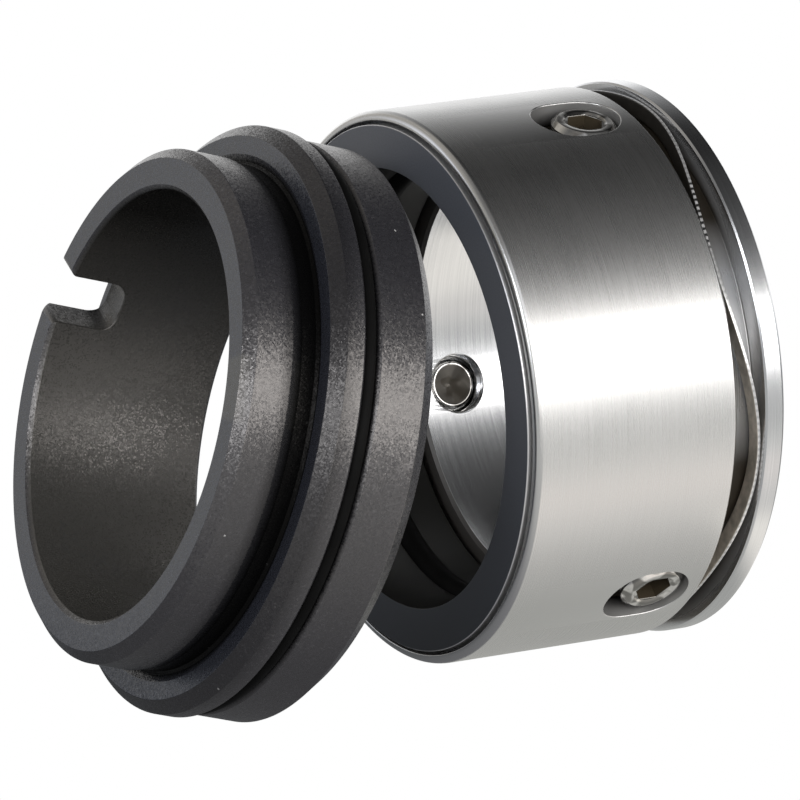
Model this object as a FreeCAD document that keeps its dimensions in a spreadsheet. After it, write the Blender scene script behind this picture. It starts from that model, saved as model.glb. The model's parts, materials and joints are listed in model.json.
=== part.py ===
# Component mechanical seal for a 50 mm shaft: a spring-loaded rotary unit on a drive collar,
# and a loose stationary seat with its housing O-ring. Millimetres throughout.
#
# The shaft runs along X. X = 0 is the back of the collar's flange, and the sealing face looks
# towards -X. The seat stands in front of that face, leaning, as it does when laid out.

import FreeCAD, Part
import math
import os
import Sketcher

os.makedirs("parts", exist_ok=True)

doc = FreeCAD.newDocument("mechanical_seal")

# Driving dimensions

DIMENSIONS = [
    # shaft
    ("shaft_diameter", 50.0),
    ("shaft_clearance", 0.03),
    # drive collar
    ("collar_wall", 5.1),
    ("flange_overhang", 0.2),
    ("flange_thickness", 2.65),
    ("flange_chamfer", 0.45),
    ("collar_chamfer", 0.4),
    # set screws
    ("screw_count", 3.0),
    ("screw_diameter", 8.0),
    ("screw_length", 6.0),
    ("screw_chamfer", 0.7),
    ("screw_hex_flats", 4.0),
    ("screw_hex_depth", 3.0),
    ("screw_cup_diameter", 5.0),
    ("screw_cup_depth", 1.2),
    ("screw_cup_rim", 0.2),
    ("screw_recess", 0.7),
    ("screw_angle", -12.4),
    ("thread_clearance", 0.02),
    ("tap_drill_diameter", 6.7),
    ("tap_land", 1.0),
    ("tap_lead_in", 0.35),
    # face carrier
    ("carrier_wall", 2.79),
    ("carrier_skirt", 1.13),
    ("carrier_edge_radius", 1.05),
    ("carrier_rear_chamfer", 0.3),
    ("carrier_clearance", 0.08),
    ("web_thickness", 0.6),
    ("web_bore_gap", 0.05),
    ("slot_side_gap", 0.5),
    ("slot_front_wall", 0.4),
    ("slot_rear_wall", 1.65),
    ("slot_play", 2.9),
    ("travel", 0.9),
    ("stop_clearance", 0.1),
    # face ring
    ("face_bore_gap", 1.24),
    ("face_length", 15.1),
    ("face_stand", 0.4),
    ("face_neck_length", 1.4),
    ("face_neck_gap", 1.8),
    ("face_nose_gap", 0.47),
    ("face_nose_length", 2.9),
    ("face_edge_chamfer", 0.1),
    # shaft O-ring
    ("shaft_ring_station", 8.6),
    ("shaft_ring_section", 3.0),
    ("shaft_ring_inner_gap", 0.02),
    ("shaft_ring_outer_gap", 0.04),
    ("shaft_ring_side_gap", 0.1),
    # wave spring
    ("spring_gap", 3.75),
    ("spring_inner_gap", 0.25),
    ("spring_width", 2.0),
    ("spring_thickness", 0.5),
    ("spring_seat_gap", 0.03),
    ("spring_waves", 4.0),
    ("spring_phase", -54.5),
    ("spring_split_width", 2.0),
    # stationary seat
    ("seat_length", 23.05),
    ("seat_bore_gap", 0.5),
    ("seat_bore_chamfer", 0.5),
    ("tail_wall", 4.95),
    ("tail_length", 9.07),
    ("tail_chamfer", 1.3),
    ("relief_start", 3.2),
    ("relief_ramp", 1.4),
    ("relief_depth", 0.4),
    ("relief_face_depth", 0.35),
    ("relief_face_height", 1.25),
    ("seat_flange_height", 4.5),
    ("seat_flange_width", 3.93),
    ("seat_flange_chamfer", 1.5),
    ("seat_rim_chamfer", 0.3),
    ("nose_step", 0.7),
    ("nose_front_chamfer", 0.5),
    ("nose_end_chamfer", 2.0),
    ("notch_width", 6.2),
    ("notch_depth", 7.9),
    ("notch_corner_radius", 2.0),
    ("notch_mouth_radius", 0.9),
    ("notch_angle", 73.0),
    # seat O-ring
    ("seat_ring_section", 1.78),
    ("seat_ring_side_gap", 0.05),
    ("seat_ring_stand", 0.23),
    ("seat_ring_floor_gap", 0.02),
    # where the seat stands
    ("seat_distance", 27.4),
    ("seat_lean", 16.8),
    ("seat_lean_twist", 14.85),
]

# Sizes that follow from the driving dimensions

DERIVED = [
    # radii, from the shaft outwards
    ("collar_bore_radius", "shaft_diameter / 2 + shaft_clearance"),
    ("collar_radius", "collar_bore_radius + collar_wall"),
    ("carrier_bore_radius", "collar_radius + carrier_clearance"),
    ("carrier_radius", "carrier_bore_radius + carrier_wall"),
    ("flange_radius", "carrier_radius + flange_overhang"),
    ("face_bore_radius", "collar_bore_radius + face_bore_gap"),
    ("face_neck_radius", "face_bore_radius + face_neck_gap"),
    ("web_bore_radius", "face_neck_radius + web_bore_gap"),
    ("face_seat_radius", "carrier_radius - carrier_skirt"),
    ("face_nose_radius", "face_seat_radius - face_nose_gap"),
    ("screw_top", "carrier_radius - screw_recess"),
    # places along the rotary unit, from the carrier's front
    ("face_back", "face_length - face_stand"),
    ("skirt_depth", "face_back - face_neck_length"),
    ("web_back", "skirt_depth + web_thickness"),
    ("collar_front", "face_back + travel + stop_clearance"),
    ("slot_width", "screw_diameter + 2 * slot_side_gap"),
    ("slot_front_end", "web_back + slot_front_wall"),
    ("slot_rear_end", "slot_front_end + screw_diameter + slot_play"),
    ("carrier_length", "slot_rear_end + slot_rear_wall"),
    ("flange_front", "carrier_length + spring_gap"),
    ("rotary_length", "flange_front + flange_thickness"),
    ("collar_length", "rotary_length - collar_front"),
    ("screw_station", "slot_rear_end - stop_clearance - screw_diameter / 2"),
    ("slot_front_centre", "slot_front_end + slot_width / 2"),
    ("slot_rear_centre", "slot_rear_end - slot_width / 2"),
    # shaft O-ring and its chamber
    ("shaft_ring_centre", "collar_bore_radius + shaft_ring_inner_gap + shaft_ring_section / 2"),
    ("ring_chamber_radius",
     "shaft_ring_centre + shaft_ring_section / 2 + shaft_ring_outer_gap"),
    ("ring_chamber_length", "shaft_ring_section + 2 * shaft_ring_side_gap"),
    ("ring_chamber_front", "face_stand + shaft_ring_station - ring_chamber_length / 2"),
    ("ring_chamber_back", "ring_chamber_front + ring_chamber_length"),
    # wave spring
    ("spring_inner_radius", "collar_radius + spring_inner_gap"),
    ("spring_outer_radius", "spring_inner_radius + spring_width"),
    # stationary seat
    ("seat_bore_radius", "shaft_diameter / 2 + seat_bore_gap"),
    ("tail_radius", "seat_bore_radius + tail_wall"),
    ("seat_flange_radius", "tail_radius + seat_flange_height"),
    ("nose_radius", "seat_flange_radius - nose_step"),
    ("groove_front", "tail_length + seat_flange_width"),
    ("groove_width", "seat_ring_section + 2 * seat_ring_side_gap"),
    ("groove_back", "groove_front + groove_width"),
    ("seat_ring_outer_radius", "nose_radius + seat_ring_stand"),
    ("groove_floor_radius",
     "seat_ring_outer_radius - seat_ring_section - seat_ring_floor_gap"),
]

sheet = doc.addObject("Spreadsheet::Sheet", "Dimensions")
row = 1
for alias, value in DIMENSIONS:
    sheet.set("A%d" % row, alias)
    sheet.set("B%d" % row, str(value))
    sheet.setAlias("B%d" % row, alias)
    row += 1
for alias, formula in DERIVED:
    sheet.set("A%d" % row, alias)
    sheet.set("B%d" % row, "=" + formula)
    sheet.setAlias("B%d" % row, alias)
    row += 1
doc.recompute()


def size(alias):
    """The value of one cell of the sheet, in millimetres or degrees."""
    return float(getattr(sheet, alias))


def bound(formula):
    """The formula with every alias pointed at the sheet."""
    words = sorted((a for a, _ in DIMENSIONS + DERIVED), key=len, reverse=True)
    text = formula
    for number, word in enumerate(words):
        text = swap_word(text, word, "#%d#" % number)
    for number, word in enumerate(words):
        text = text.replace("#%d#" % number, "Dimensions." + word)
    return text


def swap_word(text, word, mark):
    """Replace a whole word, and leave longer words that contain it alone."""
    pieces = text.split(word)
    joined = pieces[0]
    for piece in pieces[1:]:
        before = joined[-1:]
        after = piece[:1]
        whole = not (before.isalnum() or before == "_" or after.isalnum() or after == "_")
        joined += (mark if whole else word) + piece
    return joined


def worth(formula):
    """The present value of a formula of aliases, for a sketch's first guess."""
    probe = sheet.evalExpression(formula) if hasattr(sheet, "evalExpression") else 0.0
    return float(getattr(probe, "Value", probe))


# Building blocks

def new_body(name):
    """A named body that becomes one sub-part."""
    body = doc.addObject("PartDesign::Body", name)
    body.Label = name
    return body


def plane_of(body, role):
    """One of the body's own origin planes or axes, found by its role."""
    return next(f for f in body.Origin.OriginFeatures if f.Role == role)


def sketch_on(body, name, role="XY_Plane", lift=None):
    """A sketch on an origin plane, raised along the plane's normal by a formula."""
    sketch = body.newObject("Sketcher::SketchObject", name)
    sketch.AttachmentSupport = [(plane_of(body, role), "")]
    sketch.MapMode = "FlatFace"
    if lift:
        sketch.setExpression("AttachmentOffset.Base.z", bound(lift))
    return sketch


def hold(sketch, kind, *where):
    """A driving constraint whose value is bound to a formula, the last argument."""
    formula = where[-1]
    index = sketch.addConstraint(Sketcher.Constraint(kind, *where[:-1], worth(formula)))
    sketch.setExpression("Constraints[%d]" % index, bound(formula))


def closed_outline(sketch, corners):
    """A closed outline of straight sides. Each corner is a pair of formulas: place along the
    axis and radius, both positive."""
    points = [FreeCAD.Vector(worth(along), worth(out), 0) for along, out in corners]
    lines = []
    for here, there in zip(points, points[1:] + points[:1]):
        lines.append(sketch.addGeometry(Part.LineSegment(here, there)))
    for number, line in enumerate(lines):
        following = lines[(number + 1) % len(lines)]
        sketch.addConstraint(Sketcher.Constraint("Coincident", line, 2, following, 1))
    for line, (along, out) in zip(lines, corners):
        hold(sketch, "DistanceX", -1, 1, line, 1, along)
        hold(sketch, "DistanceY", -1, 1, line, 1, out)


def turned(body, name, corners):
    """A full turn of an outline about X."""
    sketch = sketch_on(body, name + "_profile")
    closed_outline(sketch, corners)
    turn = body.newObject("PartDesign::Revolution", name)
    turn.Profile = sketch
    turn.ReferenceAxis = (sketch, ["H_Axis"])
    turn.Angle = 360
    sketch.Visibility = False
    body.Tip = turn
    doc.recompute()
    return turn


def cut_outward(body, name, sketch):
    """A pocket from the sketch's plane out through the wall on its +Z side."""
    pocket = body.newObject("PartDesign::Pocket", name)
    pocket.Profile = sketch
    pocket.Type = "ThroughAll"
    pocket.Reversed = True
    sketch.Visibility = False
    body.Tip = pocket
    doc.recompute()
    return pocket


def at_each_screw(body, name, features):
    """Repeat features round the body's X axis, once for each screw."""
    pattern = body.newObject("PartDesign::PolarPattern", name)
    pattern.Originals = features
    pattern.Axis = (plane_of(body, "X_Axis"), [""])
    pattern.Angle = 360
    pattern.setExpression("Occurrences", bound("screw_count"))
    body.Tip = pattern
    doc.recompute()
    return pattern


def rim(feature, along, radius):
    """Names of the circular edges of a feature at a place along X with a radius."""
    found = []
    for number, edge in enumerate(feature.Shape.Edges, 1):
        curve = edge.Curve
        if curve.TypeId != "Part::GeomCircle":
            continue
        level = abs(curve.Center.x - worth(along)) < 1e-4
        if level and abs(curve.Radius - worth(radius)) < 1e-4:
            found.append("Edge%d" % number)
    return found


def rounded(body, name, feature, along, radius, round_by):
    """Round one circular edge."""
    fillet = body.newObject("PartDesign::Fillet", name)
    fillet.Base = (feature, rim(feature, along, radius))
    fillet.setExpression("Radius", bound(round_by))
    body.Tip = fillet
    doc.recompute()
    return fillet


def stand(item, along, turn=None):
    """Place a sub-part along the shaft, in formulas, with a turn about X in degrees."""
    if turn:
        item.Placement = FreeCAD.Placement(
            FreeCAD.Vector(0, 0, 0), FreeCAD.Rotation(FreeCAD.Vector(1, 0, 0), 1))
        item.setExpression("Placement.Rotation.Angle", bound(turn))
    item.setExpression("Placement.Base.x", bound(along))


# Drive collar: a tube under the carrier with a flange behind the spring

collar = new_body("drive_collar")
flange_at = "(flange_front - collar_front)"
collar_turned = turned(collar, "collar_turned", [
    ("0", "collar_bore_radius + collar_chamfer"),
    ("collar_chamfer", "collar_bore_radius"),
    ("collar_length - collar_chamfer", "collar_bore_radius"),
    ("collar_length", "collar_bore_radius + collar_chamfer"),
    ("collar_length", "flange_radius - flange_chamfer"),
    ("collar_length - flange_chamfer", "flange_radius"),
    (flange_at + " + flange_chamfer", "flange_radius"),
    (flange_at, "flange_radius - flange_chamfer"),
    (flange_at, "collar_radius"),
    ("collar_chamfer", "collar_radius"),
    ("0", "collar_radius - collar_chamfer"),
])

tap_drill = sketch_on(collar, "tap_drill")
circle = tap_drill.addGeometry(Part.Circle(
    FreeCAD.Vector(worth("screw_station - collar_front"), 0, 0),
    FreeCAD.Vector(0, 0, 1), worth("tap_drill_diameter / 2")))
tap_drill.addConstraint(Sketcher.Constraint("PointOnObject", circle, 3, -1))
hold(tap_drill, "DistanceX", -1, 1, circle, 3, "screw_station - collar_front")
hold(tap_drill, "Radius", circle, "tap_drill_diameter / 2")
drilled = cut_outward(collar, "drilled_hole", tap_drill)

thread = sketch_on(collar, "thread", lift="collar_bore_radius + tap_land")
circle = thread.addGeometry(Part.Circle(
    FreeCAD.Vector(worth("screw_station - collar_front"), 0, 0),
    FreeCAD.Vector(0, 0, 1), worth("screw_diameter / 2 + thread_clearance")))
thread.addConstraint(Sketcher.Constraint("PointOnObject", circle, 3, -1))
hold(thread, "DistanceX", -1, 1, circle, 3, "screw_station - collar_front")
hold(thread, "Radius", circle, "screw_diameter / 2 + thread_clearance")
threaded = cut_outward(collar, "threaded_hole", thread)

lead_in = sketch_on(collar, "lead_in", "XZ_Plane")
hole_at = "(screw_station - collar_front)"
closed_outline(lead_in, [
    (hole_at, "collar_bore_radius - tap_lead_in"),
    (hole_at + " + tap_drill_diameter / 2 + 2 * tap_lead_in",
     "collar_bore_radius - tap_lead_in"),
    (hole_at + " + tap_drill_diameter / 2", "collar_bore_radius + tap_lead_in"),
    (hole_at, "collar_bore_radius + tap_lead_in"),
])
hole_axis = lead_in.addGeometry(Part.LineSegment(
    FreeCAD.Vector(worth(hole_at), worth("collar_bore_radius - tap_lead_in"), 0),
    FreeCAD.Vector(worth(hole_at), worth("collar_bore_radius + tap_lead_in"), 0)), True)
lead_in.addConstraint(Sketcher.Constraint("Coincident", hole_axis, 1, 0, 1))
lead_in.addConstraint(Sketcher.Constraint("Coincident", hole_axis, 2, 3, 1))
mouthed = collar.newObject("PartDesign::Groove", "hole_lead_in")
mouthed.Profile = lead_in
mouthed.ReferenceAxis = (lead_in, ["Axis0"])
mouthed.Angle = 360
lead_in.Visibility = False
collar.Tip = mouthed
doc.recompute()
at_each_screw(collar, "screw_holes", [drilled, threaded, mouthed])
stand(collar, "-collar_length", "-screw_angle")


# Face carrier: a thin shell that slides on the collar, with three slots for the screws

carrier = new_body("face_carrier")
carrier_turned = turned(carrier, "carrier_turned", [
    ("0", "face_seat_radius"),
    ("skirt_depth", "face_seat_radius"),
    ("skirt_depth", "web_bore_radius"),
    ("web_back", "web_bore_radius"),
    ("web_back", "carrier_bore_radius"),
    ("carrier_length", "carrier_bore_radius"),
    ("carrier_length", "carrier_radius - carrier_rear_chamfer"),
    ("carrier_length - carrier_rear_chamfer", "carrier_radius"),
    ("0", "carrier_radius"),
])
carrier_edge = rounded(carrier, "carrier_edge", carrier_turned, "0", "carrier_radius",
                       "carrier_edge_radius")

slot = sketch_on(carrier, "slot")
half = worth("slot_width / 2")
near_end = worth("slot_front_centre")
far_end = worth("slot_rear_centre")
front_arc = slot.addGeometry(Part.ArcOfCircle(
    Part.Circle(FreeCAD.Vector(near_end, 0, 0), FreeCAD.Vector(0, 0, 1), half),
    math.pi / 2, 3 * math.pi / 2))
rear_arc = slot.addGeometry(Part.ArcOfCircle(
    Part.Circle(FreeCAD.Vector(far_end, 0, 0), FreeCAD.Vector(0, 0, 1), half),
    -math.pi / 2, math.pi / 2))
upper = slot.addGeometry(Part.LineSegment(
    FreeCAD.Vector(near_end, half, 0), FreeCAD.Vector(far_end, half, 0)))
lower = slot.addGeometry(Part.LineSegment(
    FreeCAD.Vector(near_end, -half, 0), FreeCAD.Vector(far_end, -half, 0)))
slot.addConstraint(Sketcher.Constraint("Tangent", front_arc, 1, upper, 1))
slot.addConstraint(Sketcher.Constraint("Tangent", front_arc, 2, lower, 1))
slot.addConstraint(Sketcher.Constraint("Tangent", rear_arc, 2, upper, 2))
slot.addConstraint(Sketcher.Constraint("Tangent", rear_arc, 1, lower, 2))
slot.addConstraint(Sketcher.Constraint("PointOnObject", front_arc, 3, -1))
slot.addConstraint(Sketcher.Constraint("PointOnObject", rear_arc, 3, -1))
hold(slot, "Radius", front_arc, "slot_width / 2")
hold(slot, "DistanceX", -1, 1, front_arc, 3, "slot_front_centre")
hold(slot, "DistanceX", -1, 1, rear_arc, 3, "slot_rear_centre")
slotted = cut_outward(carrier, "slotted", slot)
at_each_screw(carrier, "screw_slots", [slotted])
stand(carrier, "-rotary_length", "-screw_angle")


# Face ring: the lapped sealing face, pressed into the carrier, with the shaft O-ring's groove

face = new_body("face_ring")
turned(face, "face_turned", [
    ("0", "face_bore_radius"),
    ("ring_chamber_front", "face_bore_radius"),
    ("ring_chamber_front", "ring_chamber_radius"),
    ("ring_chamber_back", "ring_chamber_radius"),
    ("ring_chamber_back", "face_bore_radius"),
    ("face_length", "face_bore_radius"),
    ("face_length", "face_neck_radius"),
    ("face_length - face_neck_length", "face_neck_radius"),
    ("face_length - face_neck_length", "face_seat_radius"),
    ("face_nose_length", "face_seat_radius"),
    ("face_nose_length", "face_nose_radius"),
    ("face_edge_chamfer", "face_nose_radius"),
    ("0", "face_nose_radius - face_edge_chamfer"),
])
stand(face, "-rotary_length - face_stand")


# Set screws: hexagon socket above, cup point towards the shaft

def hexagon(sketch, across_flats):
    """A regular hexagon round the origin, one corner on the X axis."""
    radius = worth(across_flats) / 2 / math.cos(math.pi / 6)
    round_it = sketch.addGeometry(Part.Circle(
        FreeCAD.Vector(0, 0, 0), FreeCAD.Vector(0, 0, 1), radius), True)
    sketch.addConstraint(Sketcher.Constraint("Coincident", round_it, 3, -1, 1))
    hold(sketch, "Radius", round_it, "(" + across_flats + ") / 2 / cos(30 deg)")
    corners = [FreeCAD.Vector(radius * math.cos(k * math.pi / 3),
                              radius * math.sin(k * math.pi / 3), 0) for k in range(6)]
    sides = [sketch.addGeometry(Part.LineSegment(a, b))
             for a, b in zip(corners, corners[1:] + corners[:1])]
    for number, side in enumerate(sides):
        following = sides[(number + 1) % 6]
        sketch.addConstraint(Sketcher.Constraint("Coincident", side, 2, following, 1))
        sketch.addConstraint(Sketcher.Constraint("PointOnObject", side, 1, round_it))
    for side in sides[1:]:
        sketch.addConstraint(Sketcher.Constraint("Equal", sides[0], side))
    sketch.addConstraint(Sketcher.Constraint("PointOnObject", sides[0], 1, -1))


def set_screw(name, number):
    """One screw, standing on its cup point along its own Z, turned to its place round X."""
    turn = "(screw_angle + %d * 360 / screw_count)" % number
    screw = new_body(name)
    profile = sketch_on(screw, name + "_profile", "XZ_Plane")
    closed_outline(profile, [
        ("0", "screw_cup_depth"),
        ("screw_cup_diameter / 2", "0"),
        ("screw_cup_diameter / 2 + screw_cup_rim", "0"),
        ("screw_diameter / 2", "(screw_diameter - screw_cup_diameter) / 2 - screw_cup_rim"),
        ("screw_diameter / 2", "screw_length - screw_chamfer"),
        ("screw_diameter / 2 - screw_chamfer", "screw_length"),
        ("0", "screw_length"),
    ])
    turn_it = screw.newObject("PartDesign::Revolution", name + "_turned")
    turn_it.Profile = profile
    turn_it.ReferenceAxis = (profile, ["V_Axis"])
    turn_it.Angle = 360
    profile.Visibility = False
    screw.Tip = turn_it
    socket = sketch_on(screw, name + "_hexagon", "XY_Plane", lift="screw_length")
    hexagon(socket, "screw_hex_flats")
    pocket = screw.newObject("PartDesign::Pocket", name + "_socket")
    pocket.Profile = socket
    pocket.Type = "Length"
    pocket.setExpression("Length", bound("screw_hex_depth"))
    socket.Visibility = False
    screw.Tip = pocket
    stand(screw, "screw_station - rotary_length", "-" + turn)
    direction = turn + " * 1 deg"
    foot = "(screw_top - screw_length)"
    screw.setExpression("Placement.Base.y", bound(foot + " * sin(" + direction + ")"))
    screw.setExpression("Placement.Base.z", bound(foot + " * cos(" + direction + ")"))
    doc.recompute()
    return screw


screws = [set_screw("set_screw_%d" % (number + 1), number)
          for number in range(int(size("screw_count")))]


# O-rings

def o_ring(name, centre_radius, section):
    """A round-section ring about X."""
    ring = doc.addObject("Part::Torus", name)
    ring.Label = name
    ring.setExpression("Radius1", bound(centre_radius))
    ring.setExpression("Radius2", bound("(" + section + ") / 2"))
    return ring


shaft_ring = o_ring("shaft_o_ring", "shaft_ring_centre", "shaft_ring_section")
shaft_ring.Placement = FreeCAD.Placement(
    FreeCAD.Vector(0, 0, 0), FreeCAD.Rotation(FreeCAD.Vector(0, 1, 0), 90))
shaft_ring.setExpression("Placement.Base.x", bound(
    "-rotary_length + shaft_ring_station"))


# Wave spring: a flat strip bent into waves between the carrier and the flange

def wave_strip():
    """One turn of flat strip with a split, whose crests reach both seats."""
    middle = size("spring_gap") / 2
    swing = middle - size("spring_thickness") / 2 - size("spring_seat_gap")
    waves = size("spring_waves")
    phase = math.radians(size("spring_phase"))
    split = size("spring_split_width") / size("spring_outer_radius")
    first = phase + math.pi + split / 2
    span = 2 * math.pi - split
    steps = int(12 * waves)

    def edge(radius, lift):
        points = []
        for step in range(steps + 1):
            angle = first + span * step / steps
            along = middle - swing * math.cos(waves * (angle - phase)) + lift
            points.append(FreeCAD.Vector(
                along, radius * math.sin(angle), radius * math.cos(angle)))
        curve = Part.BSplineCurve()
        curve.interpolate(points)
        return curve.toShape()

    inner = size("spring_inner_radius")
    outer = size("spring_outer_radius")
    half_strip = size("spring_thickness") / 2
    corners = [(inner, -half_strip), (outer, -half_strip), (outer, half_strip),
               (inner, half_strip)]
    edges = [edge(radius, lift) for radius, lift in corners]
    faces = [Part.makeRuledSurface(a, b) for a, b in zip(edges, edges[1:] + edges[:1])]
    for end in (0, 1):
        ring = [e.valueAt(e.FirstParameter if end == 0 else e.LastParameter) for e in edges]
        faces.append(Part.Face(Part.makePolygon(ring + ring[:1])))
    shell = Part.makeShell(faces)
    shell.sewShape()
    solid = Part.makeSolid(Part.Shell(shell.Faces))
    if solid.Volume < 0:
        solid.reverse()
    return solid


spring = doc.addObject("Part::Feature", "wave_spring")
spring.Label = "wave_spring"
spring.Shape = wave_strip()
stand(spring, "-rotary_length + carrier_length")


# Stationary seat: tail with a notch for a housing pin, flange, O-ring groove and lapped nose

seat = new_body("seat_ring")
seat_turned = turned(seat, "seat_turned", [
    ("0", "seat_bore_radius + seat_bore_chamfer"),
    ("seat_bore_chamfer", "seat_bore_radius"),
    ("seat_length - seat_bore_chamfer", "seat_bore_radius"),
    ("seat_length", "seat_bore_radius + seat_bore_chamfer"),
    ("seat_length", "nose_radius - nose_end_chamfer"),
    ("seat_length - nose_end_chamfer", "nose_radius"),
    ("groove_back + nose_front_chamfer", "nose_radius"),
    ("groove_back", "nose_radius - nose_front_chamfer"),
    ("groove_back", "groove_floor_radius"),
    ("groove_front", "groove_floor_radius"),
    ("groove_front", "seat_flange_radius - seat_rim_chamfer"),
    ("groove_front - seat_rim_chamfer", "seat_flange_radius"),
    ("tail_length + seat_flange_chamfer", "seat_flange_radius"),
    ("tail_length", "seat_flange_radius - seat_flange_chamfer"),
    ("tail_length", "tail_radius - relief_depth + relief_face_height"),
    ("tail_length + relief_face_depth", "tail_radius - relief_depth + relief_face_depth"),
    ("tail_length", "tail_radius - relief_depth"),
    ("tail_length - relief_start + relief_ramp", "tail_radius - relief_depth"),
    ("tail_length - relief_start", "tail_radius"),
    ("tail_chamfer", "tail_radius"),
    ("0", "tail_radius - tail_chamfer"),
])

notch = sketch_on(seat, "notch")
half = worth("notch_width / 2")
deep = worth("notch_depth")
corner = worth("notch_corner_radius")
flare = worth("notch_mouth_radius")


def notch_line(x1, y1, x2, y2):
    """A straight side of the notch."""
    return notch.addGeometry(Part.LineSegment(
        FreeCAD.Vector(x1, y1, 0), FreeCAD.Vector(x2, y2, 0)))


def notch_arc(x, y, radius, first, last):
    """A quarter arc of the notch, between two angles in degrees."""
    circle = Part.Circle(FreeCAD.Vector(x, y, 0), FreeCAD.Vector(0, 0, 1), radius)
    return notch.addGeometry(
        Part.ArcOfCircle(circle, math.radians(first), math.radians(last)))


mouth = notch_line(-flare, -half - flare, -flare, half + flare)
top_lip = notch_line(-flare, half + flare, 0, half + flare)
top_flare = notch_arc(flare, half + flare, flare, 180, 270)
top_side = notch_line(flare, half, deep - corner, half)
top_corner = notch_arc(deep - corner, half - corner, corner, 0, 90)
floor_side = notch_line(deep, half - corner, deep, corner - half)
low_corner = notch_arc(deep - corner, corner - half, corner, 270, 360)
low_side = notch_line(deep - corner, -half, flare, -half)
low_flare = notch_arc(flare, -half - flare, flare, 90, 180)
low_lip = notch_line(0, -half - flare, -flare, -half - flare)

for joined in [
        ("Coincident", mouth, 2, top_lip, 1), ("Coincident", top_lip, 2, top_flare, 1),
        ("Tangent", top_flare, 2, top_side, 1), ("Tangent", top_side, 2, top_corner, 2),
        ("Tangent", top_corner, 1, floor_side, 1), ("Tangent", floor_side, 2, low_corner, 2),
        ("Tangent", low_corner, 1, low_side, 1), ("Tangent", low_side, 2, low_flare, 1),
        ("Coincident", low_flare, 2, low_lip, 1), ("Coincident", low_lip, 2, mouth, 1),
        ("Horizontal", top_lip), ("Horizontal", low_lip), ("Horizontal", top_side),
        ("Horizontal", low_side), ("Vertical", floor_side), ("Equal", top_corner, low_corner),
        ("Equal", top_flare, low_flare), ("Symmetric", mouth, 1, mouth, 2, -1),
        ("Horizontal", top_flare, 1, top_flare, 3), ("Horizontal", low_flare, 2, low_flare, 3)]:
    notch.addConstraint(Sketcher.Constraint(*joined))
hold(notch, "DistanceX", -1, 1, floor_side, 1, "notch_depth")
hold(notch, "DistanceY", low_side, 1, top_side, 2, "notch_width")
hold(notch, "Radius", top_corner, "notch_corner_radius")
hold(notch, "Radius", top_flare, "notch_mouth_radius")
hold(notch, "DistanceX", mouth, 1, -1, 1, "notch_mouth_radius")
hold(notch, "DistanceX", mouth, 2, top_flare, 1, "notch_mouth_radius")
cut_outward(seat, "notched", notch)


def lean(item, along_local, own_turn):
    """Stand an item of the seat in front of the face: its own turn about its axis, then the
    lean, with the front of the seat's flange centred on the shaft's line."""
    own = FreeCAD.Rotation(FreeCAD.Vector(1, 0, 0), own_turn)
    twist = math.radians(size("seat_lean_twist"))
    over = FreeCAD.Rotation(
        FreeCAD.Vector(0, math.cos(twist), -math.sin(twist)), size("seat_lean"))
    centre = FreeCAD.Vector(-size("rotary_length") - size("seat_distance"), 0, 0)
    start = FreeCAD.Vector(along_local - size("tail_length"), 0, 0)
    return FreeCAD.Placement(centre + over.multVec(start), over.multiply(own))


seat.Placement = lean(seat, 0.0, -size("notch_angle"))

seat_o = o_ring("seat_o_ring", "seat_ring_outer_radius - seat_ring_section / 2",
                "seat_ring_section")
ring_place = lean(seat_o, size("groove_front") + size("groove_width") / 2, 0.0)
seat_o.Placement = FreeCAD.Placement(
    ring_place.Base,
    ring_place.Rotation.multiply(FreeCAD.Rotation(FreeCAD.Vector(0, 1, 0), 90)))

doc.recompute()

# Checks and export

nodes = [collar] + screws + [carrier, face, shaft_ring, spring, seat, seat_o]

for item in doc.Objects:
    if "Invalid" in item.State or "Error" in item.State:
        raise RuntimeError("%s failed: %s" % (item.Label, item.State))
for node in nodes:
    if node.Shape.isNull() or not node.Shape.isValid():
        raise RuntimeError("%s has no valid shape" % node.Label)
    if len(node.Shape.Solids) != 1 or node.Shape.Volume <= 0:
        raise RuntimeError("%s is not one solid" % node.Label)
    node.Shape.exportStep(os.path.join("parts", node.Label + ".step"))
    box = node.Shape.BoundBox
    print("%-14s volume %9.1f  x %7.2f..%6.2f  y %6.2f..%6.2f  z %6.2f..%6.2f" % (
        node.Label, node.Shape.Volume, box.XMin, box.XMax, box.YMin, box.YMax,
        box.ZMin, box.ZMax))
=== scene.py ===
# %% [markdown]
# A component mechanical seal is dressed here: a stainless rotary unit for a 50 mm shaft, and
# a loose dark seat that leans in front of it. The packed CAD model is the frame. Every piece
# below is built in the same place and size as its CAD node, which it replaces, and it rides
# on the same body, so it moves when the mechanism moves. Sizes are in millimetres. X is the
# shaft's axis, with zero at the back of the drive collar's flange, and FRONT is the front edge
# of the carrier, from which many places are counted.

import json
import math

import bmesh
import bpy
from mathutils import Matrix, Vector

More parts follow.
